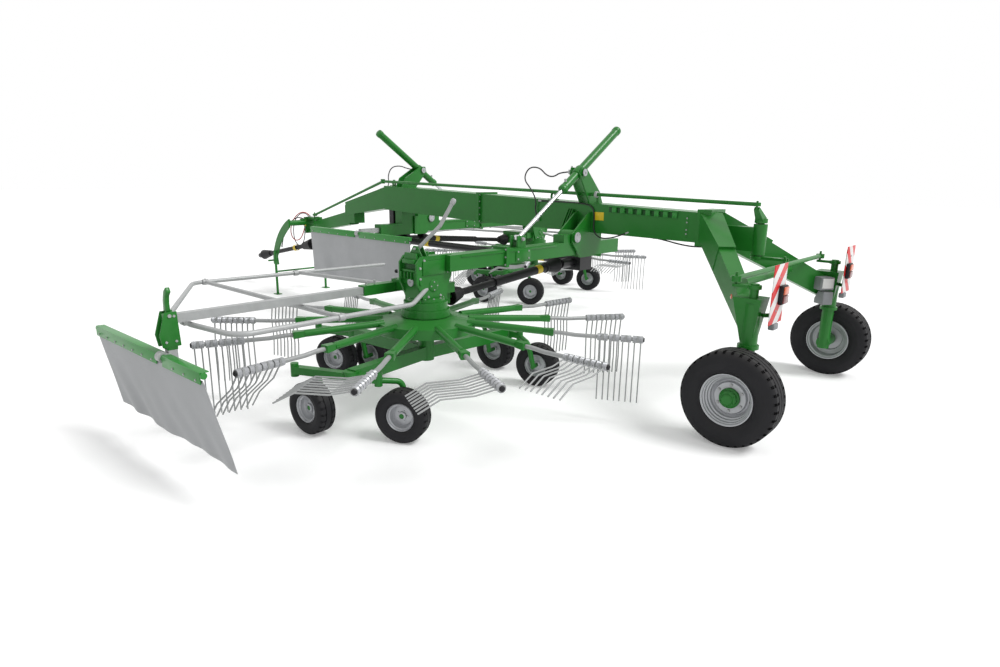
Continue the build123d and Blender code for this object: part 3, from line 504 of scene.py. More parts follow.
rearRim = {
    "profile": [
        (0.2067, 0.108), (0.2, 0.108), (0.194, 0.102), (0.191, 0.09), (0.184, 0.084), (0.18, 0.066),
        (0.171, 0.06), (0.168, 0.04), (0.158, 0.033), (0.154, 0.01), (0.142, 0), (0.132, 0.003),
        (0.123, 0.0262), (0.0435, 0.0262), (0.0435, 0.014), (0.116, 0.014), (0.126, -0.008),
        (0.146, -0.012), (0.166, -0.02), (0.176, -0.04), (0.177, -0.088), (0.192, -0.096),
        (0.198, -0.108), (0.2067, -0.108),
    ],
    "hub": [
        (0, 0.108), (0.034, 0.106), (0.044, 0.098), (0.05, 0.088), (0.06, 0.083), (0.067, 0.074),
        (0.069, 0.052), (0.079, 0.046), (0.081, 0.039), (0.081, 0.0265), (0.0435, 0.0265),
        (0.0435, 0.0875), (0, 0.0885),
    ],
    "bolts": (6, 0.104, 0.0262, 0.012), "hubBolts": (6, 0.052, 0.087, 0.006),
    "valve": ((0.15, 0, 0.012), (0.162, 0, 0.06)), "valveRadius": 0.004,
}


def makeRearRim(side):
    # stepped silver rim, green hub over the axle stub, wheel bolts and a valve
    r = rearRim
    place = wheelPlace("road_wheel_spin_" + side)
    if side == "right":
        place = place @ Matrix.Rotation(math.pi, 4, "X")
    bm = bmesh.new()
    addSpun(bm, r["profile"], Matrix(), 72)
    addSpun(bm, r["hub"], Matrix(), 48, 1)
    addBoltRing(bm, Matrix(), *r["bolts"], 2, 0.5)
    addBoltRing(bm, Matrix(), *r["hubBolts"], 1, 0.5)
    addRod(bm, *r["valve"], r["valveRadius"], 10, 2)
    bmesh.ops.transform(bm, matrix=place, verts=list(bm.verts))
    mats = "silverPaint greenPaint galvanised"
    piece = finishPiece("rearRim_" + side, bm, mats, "road_wheel_" + side, 30)
    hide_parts("rim_" + side)


for name, side in sides:
    makeRearTyre(name)
    makeRearRim(name)
    for letter in "abcdef":
        makeSmallWheel(name, letter)
print("wheels made")


# curtains: a hung cloth below an angle rail, which turns about the fold's joint

curtains = {
    "left": dict(rear=-2.52, front=-0.74, drop=0.52, swept=0.36, waves=0.01),
    "right": dict(rear=-0.255, front=1.885, drop=0.65, swept=0.04, waves=0.014),
}
hanging = {
    "out": 0.009,  # cloth outside the rail's middle
    "down": 0.03,  # its upper edge below the rail's middle
    "thick": 0.0025, "rail": 0.0215, "armGap": 0.045, "endGap": 0.012,
    "screws": 11, "screwEdge": 0.07, "screwSize": 0.008,
}


def makeCloth(side):
    c, h = curtains[side], hanging
    y, top = places["curtain_fold_" + side][1:]
    length, drop = c["front"] - c["rear"], c["drop"] - h["down"]
    bm = bmesh.new()
    bmesh.ops.create_grid(bm, x_segments=90, y_segments=28, size=0.5)
    for v in bm.verts:
        along, down = v.co.x + 0.5, 0.5 - v.co.y
        fold = math.sin(along * 17 + 2.2 * math.sin(down * 2.1 + along * 5))
        fold += 0.45 * math.sin(along * 41 + down * 6)
        v.co.x = c["rear"] + along * length - down * c["swept"]
        v.co.y = y + h["out"] + c["waves"] * fold * down ** 1.5
        v.co.z = top - h["down"] - down * drop + 0.006 * down * math.sin(along * 9)
    cloth = finishPiece("curtainCloth_" + side, bm, "curtainCloth", "curtain_" + side, 80)
    wall = cloth.modifiers.new("thickness", "SOLIDIFY")
    wall.thickness = h["thick"]
    wall.offset = 0
    return cloth


def makeRail(side):
    # tube, with a screwed angle in two lengths that clamps the cloth
    c, h = curtains[side], hanging
    arm, y, top = places["curtain_fold_" + side]
    rear, front = c["rear"], c["front"]
    bm = bmesh.new()
    lengths = ((rear + h["endGap"], arm - h["armGap"]), (arm + h["armGap"], front - h["endGap"]))
    for start, end in lengths:
        centre, reach = (start + end) / 2, end - start
        addBlock(bm, (centre, y - 0.008, top + 0.019), (reach, 0.062, 0.007), 0.002)
        addBlock(bm, (centre, y + 0.019, top - 0.016), (reach, 0.007, 0.076), 0.002)
    for k in range(h["screws"]):
        share = k / (h["screws"] - 1)
        x = rear + h["screwEdge"] + (front - rear - 2 * h["screwEdge"]) * share
        if abs(x - arm) > h["armGap"] + 0.02:
            addBolt(bm, (x, y + 0.022, top - 0.035), (0, 1, 0), h["screwSize"], 1)
    addRod(bm, (rear, y, top), (front, y, top), h["rail"], 24)
    return finishPiece("curtainRail_" + side, bm, "lightGreenPaint galvanised", "curtain_" + side)


for side, c in curtains.items():
    cloth, rail = makeCloth(side), makeRail(side)
    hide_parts("curtain_" + side)
print("curtains hung")


# warning boards on their holders, each with a lamp

boards = {
    "place": (-4.705, 1.01, 1.17), "size": (0.006, 0.28, 0.46), "post": (0.03, 0.05),
    "armRadius": 0.017, "armZ": 1, "armEnd": (-4.63, 1.075), "boltUp": 0.13,
}
lamps = {
    "z": 1.16, "inward": 0.055, "case": (0.036, 0.12, 0.15), "lens": (0.012, 0.098, 0.06),
    "lensUp": 0.034,
}


def makeBoard(name, side):
    b = boards
    x, y, z = b["place"][0], side * b["place"][1], b["place"][2]
    thick, width, height = b["size"]
    bm = bmesh.new()
    addBlock(bm, (x, y, z), b["size"], 0.0015)
    board = finishPiece("board_" + name, bm, "stripes_" + name, "chassis")
    if side > 0:
        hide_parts("warning_boards")
    bm = bmesh.new()
    # post behind the board, its arm to the leg, its bolts and its grey foot
    addBlock(bm, (x + 0.018, y, z - 0.02), (*b["post"], height - 0.04), 0.004)
    armX, armY = b["armEnd"]
    addRod(bm, (x + 0.02, y, b["armZ"]), (armX, side * armY, b["armZ"]), b["armRadius"], 16)
    foot = Vector((x + 0.014, y - side * 0.02, z - height / 2))
    up = Vector((0, 0, 1))
    addBlock(bm, foot - up * 0.03, (0.05, 0.1, 0.05), 0.01, 2)
    addRod(bm, foot - up * 0.01, foot + up * 0.06, 0.012, 12, 1)
    for rise in (-b["boltUp"], b["boltUp"]):
        addBolt(bm, (x - thick / 2, y + side * 0.02, z + rise), (-1, 0, 0), 0.007, 1)
    finishPiece("boardHolder_" + name, bm, "greenPaint galvanised greyPlastic", "chassis")
    bm = bmesh.new()
    lampY = y - side * lamps["inward"]
    addBlock(bm, (x - 0.02, lampY, lamps["z"]), lamps["case"], 0.01)
    for end, mat in ((1, 1), (-1, 2)):
        addBlock(bm, (x - 0.041, lampY, lamps["z"] + end * lamps["lensUp"]), lamps["lens"], 0.004, mat)
    finishPiece("lamp_" + name, bm, "blackPlastic orangeLens redLens", "chassis")


for name, side in sides:
    makeBoard(name, side)
print("boards made")


# reflectors on the rear legs, and the chock box on the right one

legs = {
    "root": (-3.745, 0.09, 1.545), "foot": (-4.535, 1.07, 0.93),
    "width": 0.17, "narrowing": 0.06,  # at the root, and how much less at the foot
    "reflectors": (0.1, 0.76), "dot": 0.9,  # shares of the way down
    "lens": [(0, 0.008), (0.016, 0.0075), (0.021, 0.006), (0.0225, 0.003), (0.0225, -0.004), (0, -0.004)],
    "spot": [(0, 0.002), (0.014, 0.002), (0.015, -0.003), (0, -0.003)],
}


def legPlace(side, share):
    # place on a leg's outer face, a share of the way down, looking outwards
    root, foot = Vector(legs["root"]), Vector(legs["foot"])
    way = (foot - root).normalized()
    normal = Vector((way.y, -way.x, 0)).normalized()
    spot = root.lerp(foot, share) + normal * 0.5 * (legs["width"] - legs["narrowing"] * share)
    return aimed((spot.x, side * spot.y, spot.z), (normal.x, side * normal.y, 0))


def makeReflectors(name, side):
    bm = bmesh.new()
    for share in legs["reflectors"]:
        addSpun(bm, legs["lens"], legPlace(side, share), 28)
    addSpun(bm, legs["spot"], legPlace(side, legs["dot"]), 24, 1)
    finishPiece("reflectors_" + name, bm, "orangeLens yellowPaint", "chassis")


chockBox = {
    "place": (-4.52, -0.905, 1.02), "turn": 141, "size": (0.15, 0.15, 0.13),  # wide, deep, tall
    "wedge": [(-0.07, -0.07), (0.07, -0.07), (0.07, 0.06), (-0.02, 0.06), (-0.07, -0.02)],
    "wedgeWidth": 0.11,
}


def makeChockBox():
    # grey holder with a bare white plate, and the wedge that it carries
    turn = Matrix.Rotation(math.radians(chockBox["turn"]), 4, "Z")
    face = Matrix.Translation(chockBox["place"]) @ turn
    wide, deep, tall = chockBox["size"]
    bm = bmesh.new()
    addBlock(bm, face, (deep, wide, tall), 0.012, 3)
    front = face @ Matrix.Translation((deep / 2 + 0.003, 0, 0.005))
    addBlock(bm, front, (0.006, wide * 0.8, tall * 0.76), 0.002, 1)
    for across in (-1, 1):
        spot = face @ Vector((deep / 2 + 0.004, across * wide * 0.32, -0.042))
        addBolt(bm, spot, face.to_3x3() @ Vector((1, 0, 0)), 0.005, 2)
    lower = face @ Matrix.Translation((0.045, 0, -0.135)) @ acrossY
    middle = Matrix.Translation((-0.01, 0, -chockBox["wedgeWidth"] / 2))
    addPlate(bm, chockBox["wedge"], lower @ middle, chockBox["wedgeWidth"], 0.008, 3)
    finishPiece("chockBox", bm, "galvanised whitePaint galvanised greyPlastic", "chassis")


for name, side in sides:
    makeReflectors(name, side)
makeChockBox()
print("rear legs dressed")


# the main beam: flange bolts, hose clip strip, bare plates, ribs and what stands on top

beam = {
    "joint": -0.755, "halfWidth": 0.14, "low": 1.444, "top": 1.779,
    "rear": -3.605, "rearTop": 1.7, "slope": 0.0278,
    "boltRows": 5, "boltOut": 0.158, "flangeHalf": 0.02,
}


def beamTop(x):
    return beam["rearTop"] + (x - beam["rear"]) * beam["slope"]


def makeFlangeBolts():
    bm = bmesh.new()
    rows = beam["boltRows"]
    for side in (-1, 1):
        for k in range(rows):
            z = beam["low"] + 0.01 + k * (beam["top"] - beam["low"] - 0.02) / (rows - 1)
            for end in (-1, 1):
                spot = (beam["joint"] + end * beam["flangeHalf"], side * beam["boltOut"], z)
                addBolt(bm, spot, (end, 0, 0), 0.009)
    finishPiece("flangeBolts", bm, "galvanised", "chassis")


clipStrip = {"from": -3.4, "to": -2.62, "clips": 8, "below": 0.045, "height": 0.055, "block": 0.52}


def makeClipStrip():
    # a ledge over blocks below the beam's upper edge, with painted shade in the gaps: a dark green backing
    # behind the blocks
    s = clipStrip
    bm = bmesh.new()
    step, tall = (s["to"] - s["from"]) / s["clips"], s["height"]
    for side in (-1, 1):
        y = side * beam["halfWidth"]
        for k in range(s["clips"]):
            x = s["from"] + (k + 0.5) * step
            z = beamTop(x) - s["below"]
            # painted shade: this dark backing shows between the blocks
            addBlock(bm, (x, y + side * 0.001, z), (step, 0.006, tall), 0.001, 1)
            block = (s["block"] * step, 0.022, tall)
            addBlock(bm, (x - 0.2 * step, y + side * 0.01, z), block, 0.005)
            addBlock(bm, (x, y + side * 0.009, z + 0.034), (step, 0.022, 0.01), 0.002)
    finishPiece("clipStrip", bm, "lightGreenPaint darkGreenPaint", "chassis")


beamPlates = {
    "plate": (-2.5, 1.605), "plateSize": (0.115, 0.003, 0.085),
    "strap": (-3.5, 1.56), "strapSize": (0.022, 0.005, 0.19), "strapBolts": (1.49, 1.53, 1.6, 1.64),
}


def makeBeamPlates():
    # bare yellow plate and a bolted strap on both sides
    b = beamPlates
    bm = bmesh.new()
    for side in (-1, 1):
        y = side * (beam["halfWidth"] + 0.001)
        addBlock(bm, (b["plate"][0], y, b["plate"][1]), b["plateSize"], 0.001)
        addBlock(bm, (b["strap"][0], y + side * 0.001, b["strap"][1]), b["strapSize"], 0.001, 1)
        for z in b["strapBolts"]:
            addBolt(bm, (b["strap"][0], y + side * 0.003, z), (0, side, 0), 0.007, 2)
    finishPiece("beamPlates", bm, "yellowPaint greenPaint galvanised", "chassis")


ribs = {
    "left": dict(low=1.45, half=0.14), "right": dict(low=1.5, half=0.15),
    "ahead": (0.125, 0.155, 0.185), "thick": 0.009, "topOut": 0.03, "lowOut": 0.16,
}


def makeRibs():
    # upright ribs between the beam and the boom pivots, ahead of each bracket
    bm = bmesh.new()
    for name, side in sides:
        boomX, low, half = places["boom_lift_" + name][0], ribs[name]["low"], ribs[name]["half"]
        top = beamTop(boomX) - 0.07
        outline = [
            (side * half, low), (side * half, top), (side * (half + ribs["topOut"]), top),
            (side * (half + ribs["lowOut"]), low),
        ]
        for ahead in ribs["ahead"]:
            place = Matrix.Translation((boomX + ahead, 0, 0)) @ acrossX
            addPlate(bm, outline, place, ribs["thick"], 0.002)
    finishPiece("pivotRibs", bm, "greenPaint", "chassis")


beamFittings = {
    "eyesAt": (-1.8, 1),
    "eye": mirrored([(0.03, -0.007), (0.036, -0.012), (0.048, -0.012), (0.052, -0.007)]),
    "guideAt": -2.46,
    "ring": mirrored([(0.0195, -0.014), (0.027, -0.016), (0.034, -0.012)]),
    "rod": ((-4.135, 1.8), (1.085, 1.89)),  # ends of the steering rod, in x and z
    "rodY": 0.15,
    "valve": (0.093, 0.27, 2.055),  # ahead of the bracket, out, up
}


def makeBeamTopFittings():
    # lifting eyes, guide ring round the steering rod, and small valve blocks
    f = beamFittings
    bm = bmesh.new()
    for x in f["eyesAt"]:
        addSpun(bm, f["eye"], aimed((x, 0.02, beamTop(x) + 0.035), (0.35, 1, 0)), 32)
        addBlock(bm, (x, 0.02, beamTop(x) + 0.003), (0.13, 0.05, 0.012), 0.003)
    (rearX, rearZ), (frontX, frontZ) = f["rod"]
    x, y = f["guideAt"], f["rodY"]
    z = rearZ + (frontZ - rearZ) * (x - rearX) / (frontX - rearX)
    addSpun(bm, f["ring"], aimed((x, y, z), (1, 0, 0.0172)), 28, 1)
    addBlock(bm, (x, y - 0.025, z - 0.055), (0.03, 0.012, 0.075), 0.003)
    addBlock(bm, (x, y - 0.03, z - 0.086), (0.06, 0.04, 0.014), 0.003)
    for name, side in sides:
        x, y, z = places["boom_lift_" + name][0] + f["valve"][0], side * f["valve"][1], f["valve"][2]
        addBlock(bm, (x, y, z), (0.05, 0.06, 0.045), 0.005, 1)
        addRod(bm, (x, y, z + 0.015), (x, y, z + 0.06), 0.009, 12, 1)
    finishPiece("beamTopFittings", bm, "greenPaint galvanised", "chassis")


pins = {
    "cap": [(0, 0.01), (0.03, 0.01), (0.046, 0.008), (0.053, 0.004), (0.054, 0), (0, 0)],
    "small": [(0, 0.008), (0.022, 0.008), (0.036, 0.005), (0.038, 0), (0, 0)],
    "pivotHalf": 0.1125, "trunnionHalf": 0.0852,  # where the caps sit beside a bracket's middle
    "circle": 0.034, "boltUp": 0.009,
}


def makePinCaps():
    # silver discs with a bolt ring on the boom pivots, and smaller ones on the trunnions
    bm = bmesh.new()
    for name, side in sides:
        x, y, z = places["boom_lift_" + name]
        for end in (-1, 1):
            place = aimed((x + end * pins["pivotHalf"], y, z), (end, 0, 0))
            addSpun(bm, pins["cap"], place, 40)
            addBoltRing(bm, place, 3, pins["circle"], pins["boltUp"], 0.007, 1)
    finishPiece("pivotCaps", bm, "silverPaint galvanised", "chassis")
    for name, side in sides:
        x, y, z = places["lift_barrel_turn_" + name]
        bm = bmesh.new()
        for end in (-1, 1):
            place = aimed((x + end * pins["trunnionHalf"], y, z), (end, 0, 0))
            addSpun(bm, pins["small"], place, 36)
            addBolt(bm, place @ Vector((0, 0, 0.008)), (end, 0, 0), 0.009, 1)
        finishPiece("trunnionCaps_" + name, bm, "silverPaint galvanised", "lift_barrel_" + name)


lift = {
    "gland": [
        (0.0215, 0.3), (0.0215, 0.345), (0.034, 0.344), (0.04, 0.336), (0.0485, 0.33),
        (0.05, 0.322), (0.05, 0.29), (0.0462, 0.284), (0.0455, 0.3),
    ],
    "tail": [
        (0, -0.862), (0.03, -0.86), (0.044, -0.855), (0.049, -0.846), (0.049, -0.806),
        (0.0455, -0.8), (0.0455, -0.8495), (0, -0.8505),
    ],
    "collar": mirrored([(0.0455, -0.055), (0.056, -0.05), (0.06, -0.04)]),
    "port": 0.26,  # along the barrel from its trunnion
    "pinY": 1.25, "pinZ": 1.42, "pinHalf": 0.072, "pinRadius": 0.016,
}


def makeLiftFittings(name, side):
    # gland, tail cap, trunnion collar and oil port on the barrel, and the boom's clevis pin
    way = Vector(joints["lift_rod_slide_" + name]["axis"])
    trunnion = Vector(places["lift_barrel_turn_" + name])
    bm = bmesh.new()
    for profile in ("gland", "tail", "collar"):
        addSpun(bm, lift[profile], aimed(trunnion, way), 36)
    port = trunnion + way * lift["port"]
    addRod(bm, port + Vector((0, 0, 0.03)), port + Vector((0, side * 0.012, 0.075)), 0.013, 14, 1)
    finishPiece("liftFittings_" + name, bm, "greenPaint galvanised", "lift_barrel_" + name)
    bm = bmesh.new()
    pinAt = Vector((trunnion.x, side * lift["pinY"], lift["pinZ"]))
    half = Vector((lift["pinHalf"], 0, 0))
    addRod(bm, pinAt - half, pinAt + half, lift["pinRadius"], 20)
    for end in (-1, 1):
        addBolt(bm, pinAt + Vector((end * 0.068, 0, 0)), (end, 0, 0), 0.017)
    finishPiece("liftPin_" + name, bm, "galvanised", "boom_" + name)


makeFlangeBolts()
makeClipStrip()
makeBeamPlates()
makeRibs()
makeBeamTopFittings()
makePinCaps()
for name, side in sides:
    makeLiftFittings(name, side)
print("beam dressed")


# hoses: one smooth line each through listed points, with a fitting at both ends

hoses = {  # body, finish, radius and points
    "loopLeft": ("chassis", "blackHose", 0.0075, [
        (-2.2, 0.27, 2.055), (-2.06, 0.265, 2.05), (-1.97, 0.255, 2), (-1.86, 0.24, 2.01),
        (-1.74, 0.22, 2.1), (-1.57, 0.2, 2.1), (-1.49, 0.19, 1.97), (-1.6, 0.18, 1.86),
        (-1.67, 0.17, 1.74), (-1.65, 0.165, 1.62), (-1.7, 0.165, 1.52),
    ]),
    "loopRight": ("chassis", "blackHose", 0.0075, [
        (0.9, -0.27, 2.055), (1.04, -0.26, 2.07), (1.18, -0.25, 2.11), (1.34, -0.22, 2.09),
        (1.4, -0.2, 1.97), (1.33, -0.16, 1.86), (1.25, -0.06, 1.8), (1.22, 0, 1.74),
    ]),
    "alongBeam": ("chassis", "blackHose", 0.007, [
        (-1.7, 0.149, 1.735), (-1.84, 0.149, 1.735), (-2.02, 0.149, 1.735), (-2.22, 0.15, 1.735),
        (-2.42, 0.15, 1.715), (-2.45, 0.152, 1.6), (-2.44, 0.152, 1.46), (-2.5, 0.152, 1.385),
        (-2.62, 0.15, 1.375), (-2.8, 0.149, 1.43), (-2.86, 0.13, 1.46),
    ]),
    "headUpper": ("headstock", "blackHose", 0.0068, [
        (3.14, 0.052, 1.292), (3.16, 0.09, 1.345), (3.22, 0.16, 1.34), (3.31, 0.21, 1.23),
        (3.37, 0.21, 1.06), (3.38, 0.19, 0.88), (3.28, 0.16, 0.79), (3.2, 0.12, 0.88),
        (3.205, 0.098, 1.03),
    ]),
    "headRed": ("headstock", "redHose", 0.0075, [
        (3.085, 0.056, 1.292), (3.11, 0.1, 1.36), (3.19, 0.19, 1.36), (3.29, 0.26, 1.23),
        (3.35, 0.28, 1.05), (3.32, 0.25, 0.91), (3.24, 0.19, 0.9), (3.19, 0.14, 1.01),
        (3.2, 0.1, 1.12),
    ]),
    "headFront": ("headstock", "blackHose", 0.008, [
        (3.225, 0.06, 1.235), (3.3, 0.1, 1.27), (3.4, 0.16, 1.25), (3.5, 0.24, 1.12),
        (3.53, 0.3, 0.98), (3.5, 0.34, 0.86), (3.47, 0.375, 0.8),
    ]),
    "underBeam": ("chassis", "blackHose", 0.0075, [
        (-3.14, 0.1, 1.425), (-3.26, 0.11, 1.412), (-3.42, 0.12, 1.385), (-3.56, 0.12, 1.372),
        (-3.7, 0.11, 1.38), (-3.8, 0.08, 1.4),
    ]),
}


def makeHose(name):
    body, colour, radius, points = hoses[name]
    curve = bpy.data.curves.new(name, "CURVE")
    curve.dimensions = "3D"
    curve.resolution_u = 12
    curve.bevel_resolution = 4
    line = curve.splines.new("NURBS")
    line.points.add(len(points) - 1)
    for point, place in zip(line.points, points):
        point.co = (*place, 1)
    line.order_u = 3
    line.use_endpoint_u = True
    hose = addObject("hose_" + name, curve)
    bpy.context.view_layer.update()
    # a mesh of the bare line is made, then removed at once
    path = bpy.data.meshes.new_from_object(hose.evaluated_get(bpy.context.evaluated_depsgraph_get()))
    bpy.data.meshes.remove(path)
    curve.bevel_depth = radius
    curve.use_fill_caps = True
    curve.materials.append(finish[colour])
    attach(hose, body)
    bm = bmesh.new()
    for first, second in ((0, 1), (-1, -2)):
        end, inner = Vector(points[first]), Vector(points[second])
        way = (inner - end).normalized()
        addRod(bm, end - way * 0.006, end + way * 0.03, radius * 1.45, 16)
        addRod(bm, end - way * 0.012, end + way * 0.008, radius * 1.9, 6)
    fittings = finishPiece("hoseEnds_" + name, bm, "galvanised", body)


for name in hoses:
    makeHose(name)
print("hoses made")


# towers over the rotors: fins, bolts and pins, and the silver lever on the left one

tower = {
    "cheek": 0.113, "top": 1.345, "endPlate": 0.168,
    "fins": 5, "finStep": 0.042, "fin": (0.013, 0.036, 0.062), "finZ": 1.182,
    "cheekBolts": (  # from the rotor's middle outwards, and their height
        (-0.155, 1.31), (-0.155, 1.2), (0.115, 1.31), (0.16, 1.25), (0.16, 1.16), (-0.07, 1),
        (0.07, 1),
    ),
    "neckBolts": (12, 0.15, 0.979, 0.009),
    "ear": [(-0.085, 0), (0.085, 0), (0.026, 0.085), (-0.026, 0.085)], "earsAt": (0.085, 0.137),
}


def makeTower(name, side):
    t = tower
    x, y = places["rotor_spin_" + name][:2]
    bm = bmesh.new()
    endY = y + side * t["endPlate"]
    out = (0, side, 0)
    # end plate: slab over a slot painted dark green as shade, row of fins and a pin below it
    addBlock(bm, (x, endY + side * 0.014, 1.3), (0.15, 0.028, 0.034), 0.006)
    addBlock(bm, (x, endY + side * 0.002, 1.255), (0.15, 0.006, 0.04), 0.002, 1)
    addBlock(bm, (x, endY + side * 0.01, 1.222), (0.19, 0.02, 0.022), 0.004)
    for k in range(t["fins"]):
        across = (k - (t["fins"] - 1) / 2) * t["finStep"]
        addBlock(bm, (x + across, endY + side * 0.018, t["finZ"]), t["fin"], 0.004)
    addSpun(bm, pins["small"], aimed((x, endY, 1.125), out), 32, 2)
    addBolt(bm, (x, endY + side * 0.008, 1.125), out, 0.009, 3)
    # cheeks: a welded pad, bolts round its edge, and the boom's through pin
    for end in (-1, 1):
        face = x + end * t["cheek"]
        addBlock(bm, (face + end * 0.004, y + side * 0.01, 1.245), (0.01, 0.25, 0.12), 0.003)
        for far, z in t["cheekBolts"]:
            addBolt(bm, (face, y + side * far, z), (end, 0, 0), 0.01, 3)
        place = aimed((face, y + side * 0.01, 1.09), (end, 0, 0))
        addSpun(bm, pins["cap"], place, 40)
        addBoltRing(bm, place, 4, pins["circle"], pins["boltUp"], 0.006, 3)
    addBoltRing(bm, Matrix.Translation((x, y, 0)), *t["neckBolts"], 3, 0.5)
    if name == "left":
        # two upright ears with a cross bolt that hold the lever's foot
        for earY in t["earsAt"]:
            stand = Matrix.Translation((x - 0.03, y + earY, t["top"] - 0.002))
            addPlate(bm, t["ear"], stand @ acrossY, 0.008, 0.002)
        addRod(bm, (x - 0.03, y + 0.07, 1.405), (x - 0.03, y + 0.155, 1.405), 0.009, 16, 3)
    mats = "greenPaint darkGreenPaint silverPaint galvanised"
    finishPiece("towerFittings_" + name, bm, mats, "boom_" + name)


lever = {
    "foot": (-2.24, 2.47, 1.405), "knee": (-2.43, 2.4, 1.6), "tip": (-2.54, 2.36, 1.795),
    "radius": 0.016,
    "knob": [(0, 0.03), (0.014, 0.027), (0.022, 0.016), (0.022, -0.012), (0.0165, -0.02), (0, -0.022)],
    "pull": ((-2.08, 2.44, 1.19), (-1.96, 2.47, 1.185)), "pullRadius": 0.007,
    "ball": (-1.955, 2.471, 1.185), "ballRadius": 0.017,
}


def makeLever():
    # bent silver tube with a knob, and a thin pull rod with a black ball below it
    foot, knee, tip = (Vector(lever[k]) for k in ("foot", "knee", "tip"))
    bm = bmesh.new()
    for start, end in ((foot, knee), (knee, tip)):
        addRod(bm, start, end, lever["radius"], 18)
    bend = Matrix.Translation(knee)
    bmesh.ops.create_icosphere(bm, subdivisions=2, radius=lever["radius"], matrix=bend)
    addSpun(bm, lever["knob"], aimed(tip, tip - knee), 24)
    addRod(bm, *lever["pull"], lever["pullRadius"], 12)
    ball = Matrix.Translation(lever["ball"])
    bmesh.ops.create_icosphere(bm, subdivisions=3, radius=lever["ballRadius"], matrix=ball)
    for f in bm.faces:
        if (f.calc_center_median() - ball.translation).length < lever["ballRadius"] + 0.001:
            f.material_index = 1
    finishPiece("towerLever", bm, "galvanised blackPlastic", "boom_left")


for name, side in sides:
    makeTower(name, side)
makeLever()
print("towers dressed")


# booms: clamp bolts at the step, side strips, and bolted pads

booms = {
    "left": dict(far=2.1), "right": dict(far=2.4),
    "z": 1.27, "clampY": 1.5, "clampUp": (-0.07, 0, 0.07), "stripFrom": 0.72, "padY": 1.25,
}


def makeBoomFittings(name, side):
    b = booms
    x, z, far = places["boom_lift_" + name][0], b["z"], b[name]["far"]
    bm = bmesh.new()
    for end in (-1, 1):
        for out in (-1, 1):
            for up in b["clampUp"]:
                spot = (x + end * 0.082, side * (b["clampY"] + out * 0.02), z + up)
                addBolt(bm, spot, (0, out * side, 0), 0.008, 1)
        length, middle = far - b["stripFrom"], side * (b["stripFrom"] + far) / 2
        addBlock(bm, (x + end * 0.073, middle, 1.322), (0.008, length, 0.02), 0.002)
        addBlock(bm, (x + end * 0.073, side * b["padY"], z), (0.01, 0.22, 0.11), 0.003)
        for out in (-0.08, 0.08):
            for up in (-0.035, 0.035):
                spot = (x + end * 0.078, side * (b["padY"] + out), z + up)
                addBolt(bm, spot, (end, 0, 0), 0.008, 1)
    finishPiece("boomFittings_" + name, bm, "greenPaint galvanised", "boom_" + name)


for name, side in sides:
    makeBoomFittings(name, side)
print("booms dressed")


# drive shafts: bellows over the guard cones, lock rings and yellow marks

bellows = {"rings": 7, "rise": 0.0055, "valley": 0.0015, "seat": 0.0002}
tube = {
    "inner": 0.0452, "mark": 0.0465,
    "ring": [(0.0452, 0.165), (0.054, 0.168), (0.055, 0.19), (0.0452, 0.194)],
}
lateral = {
    "left": dict(outerY=2.03), "right": dict(outerY=2.32),
    "outerZ": 0.94, "mark": (0.27, 0.35),
}
driveLine = {"z": 1.08, "marksAt": (0.28, -1.7), "markLong": 0.1, "conesAt": ((0.845, -1), (-2.055, 1))}
inputShaft = {
    "start": (3.01, 0, 0.863), "end": (4.875, 0, 0.486),
    "band": [(0.0505, 0.62), (0.052, 0.62), (0.052, 0.69), (0.0505, 0.69)],
}


def addBellows(bm, origin, way, first, last, long):
    # sleeve of even folds whose radius goes from first to last
    count = 2 * bellows["rings"] + 1
    outer, inner = [], []
    for k in range(count):
        share = k / (count - 1)
        radius = first + (last - first) * share
        outer.append((radius + bellows["rise" if k % 2 else "valley"], share * long))
        inner.append((radius + bellows["seat"], share * long))
    addSpun(bm, outer + [inner[-1], inner[0]], aimed(origin, way), 40)


def addMark(bm, start, end, place):
    # yellow sleeve round a guard tube
    low, high = tube["inner"], tube["mark"]
    addSpun(bm, [(low, start), (high, start), (high, end), (low, end)], place, 36, 1)


def makeShaftFittings(name, side):
    start = Vector(places["shaft_inner_turn_" + name])
    end = Vector((start.x, side * lateral[name]["outerY"], lateral["outerZ"]))
    way = (end - start).normalized()
    bm = bmesh.new()
    addBellows(bm, start - way * 0.006, way, 0.0845, 0.0455, 0.154)
    addMark(bm, *lateral["mark"], aimed(start, way))
    addSpun(bm, tube["ring"], aimed(start, way), 36)
    finishPiece("bellows_inner_" + name, bm, "blackPlastic yellowPaint", "shaft_inner_" + name)
    bm = bmesh.new()
    addBellows(bm, end - way * 0.149, way, 0.0465, 0.0895, 0.146)
    finishPiece("bellows_outer_" + name, bm, "blackPlastic", "shaft_outer_" + name)


def makeDriveLineFittings():
    bm = bmesh.new()
    for x in driveLine["marksAt"]:
        addMark(bm, 0, driveLine["markLong"], aimed((x, 0, driveLine["z"]), (1, 0, 0)))
    for x, way in driveLine["conesAt"]:
        addBellows(bm, (x + way * 0.02, 0, driveLine["z"]), (way, 0, 0), 0.08, 0.047, 0.13)
    finishPiece("driveLineFittings", bm, "blackPlastic yellowPaint", "chassis")
    start, end = Vector(inputShaft["start"]), Vector(inputShaft["end"])
    bm = bmesh.new()
    addSpun(bm, inputShaft["band"], aimed(start, (end - start).normalized()), 36, 1)
    finishPiece("inputShaftBand", bm, "blackPlastic yellowPaint", "headstock")


for name, side in sides:
    makeShaftFittings(name, side)
makeDriveLineFittings()
print("shafts dressed")


# coil springs and clamp bolts on the tine arms, round both rotors

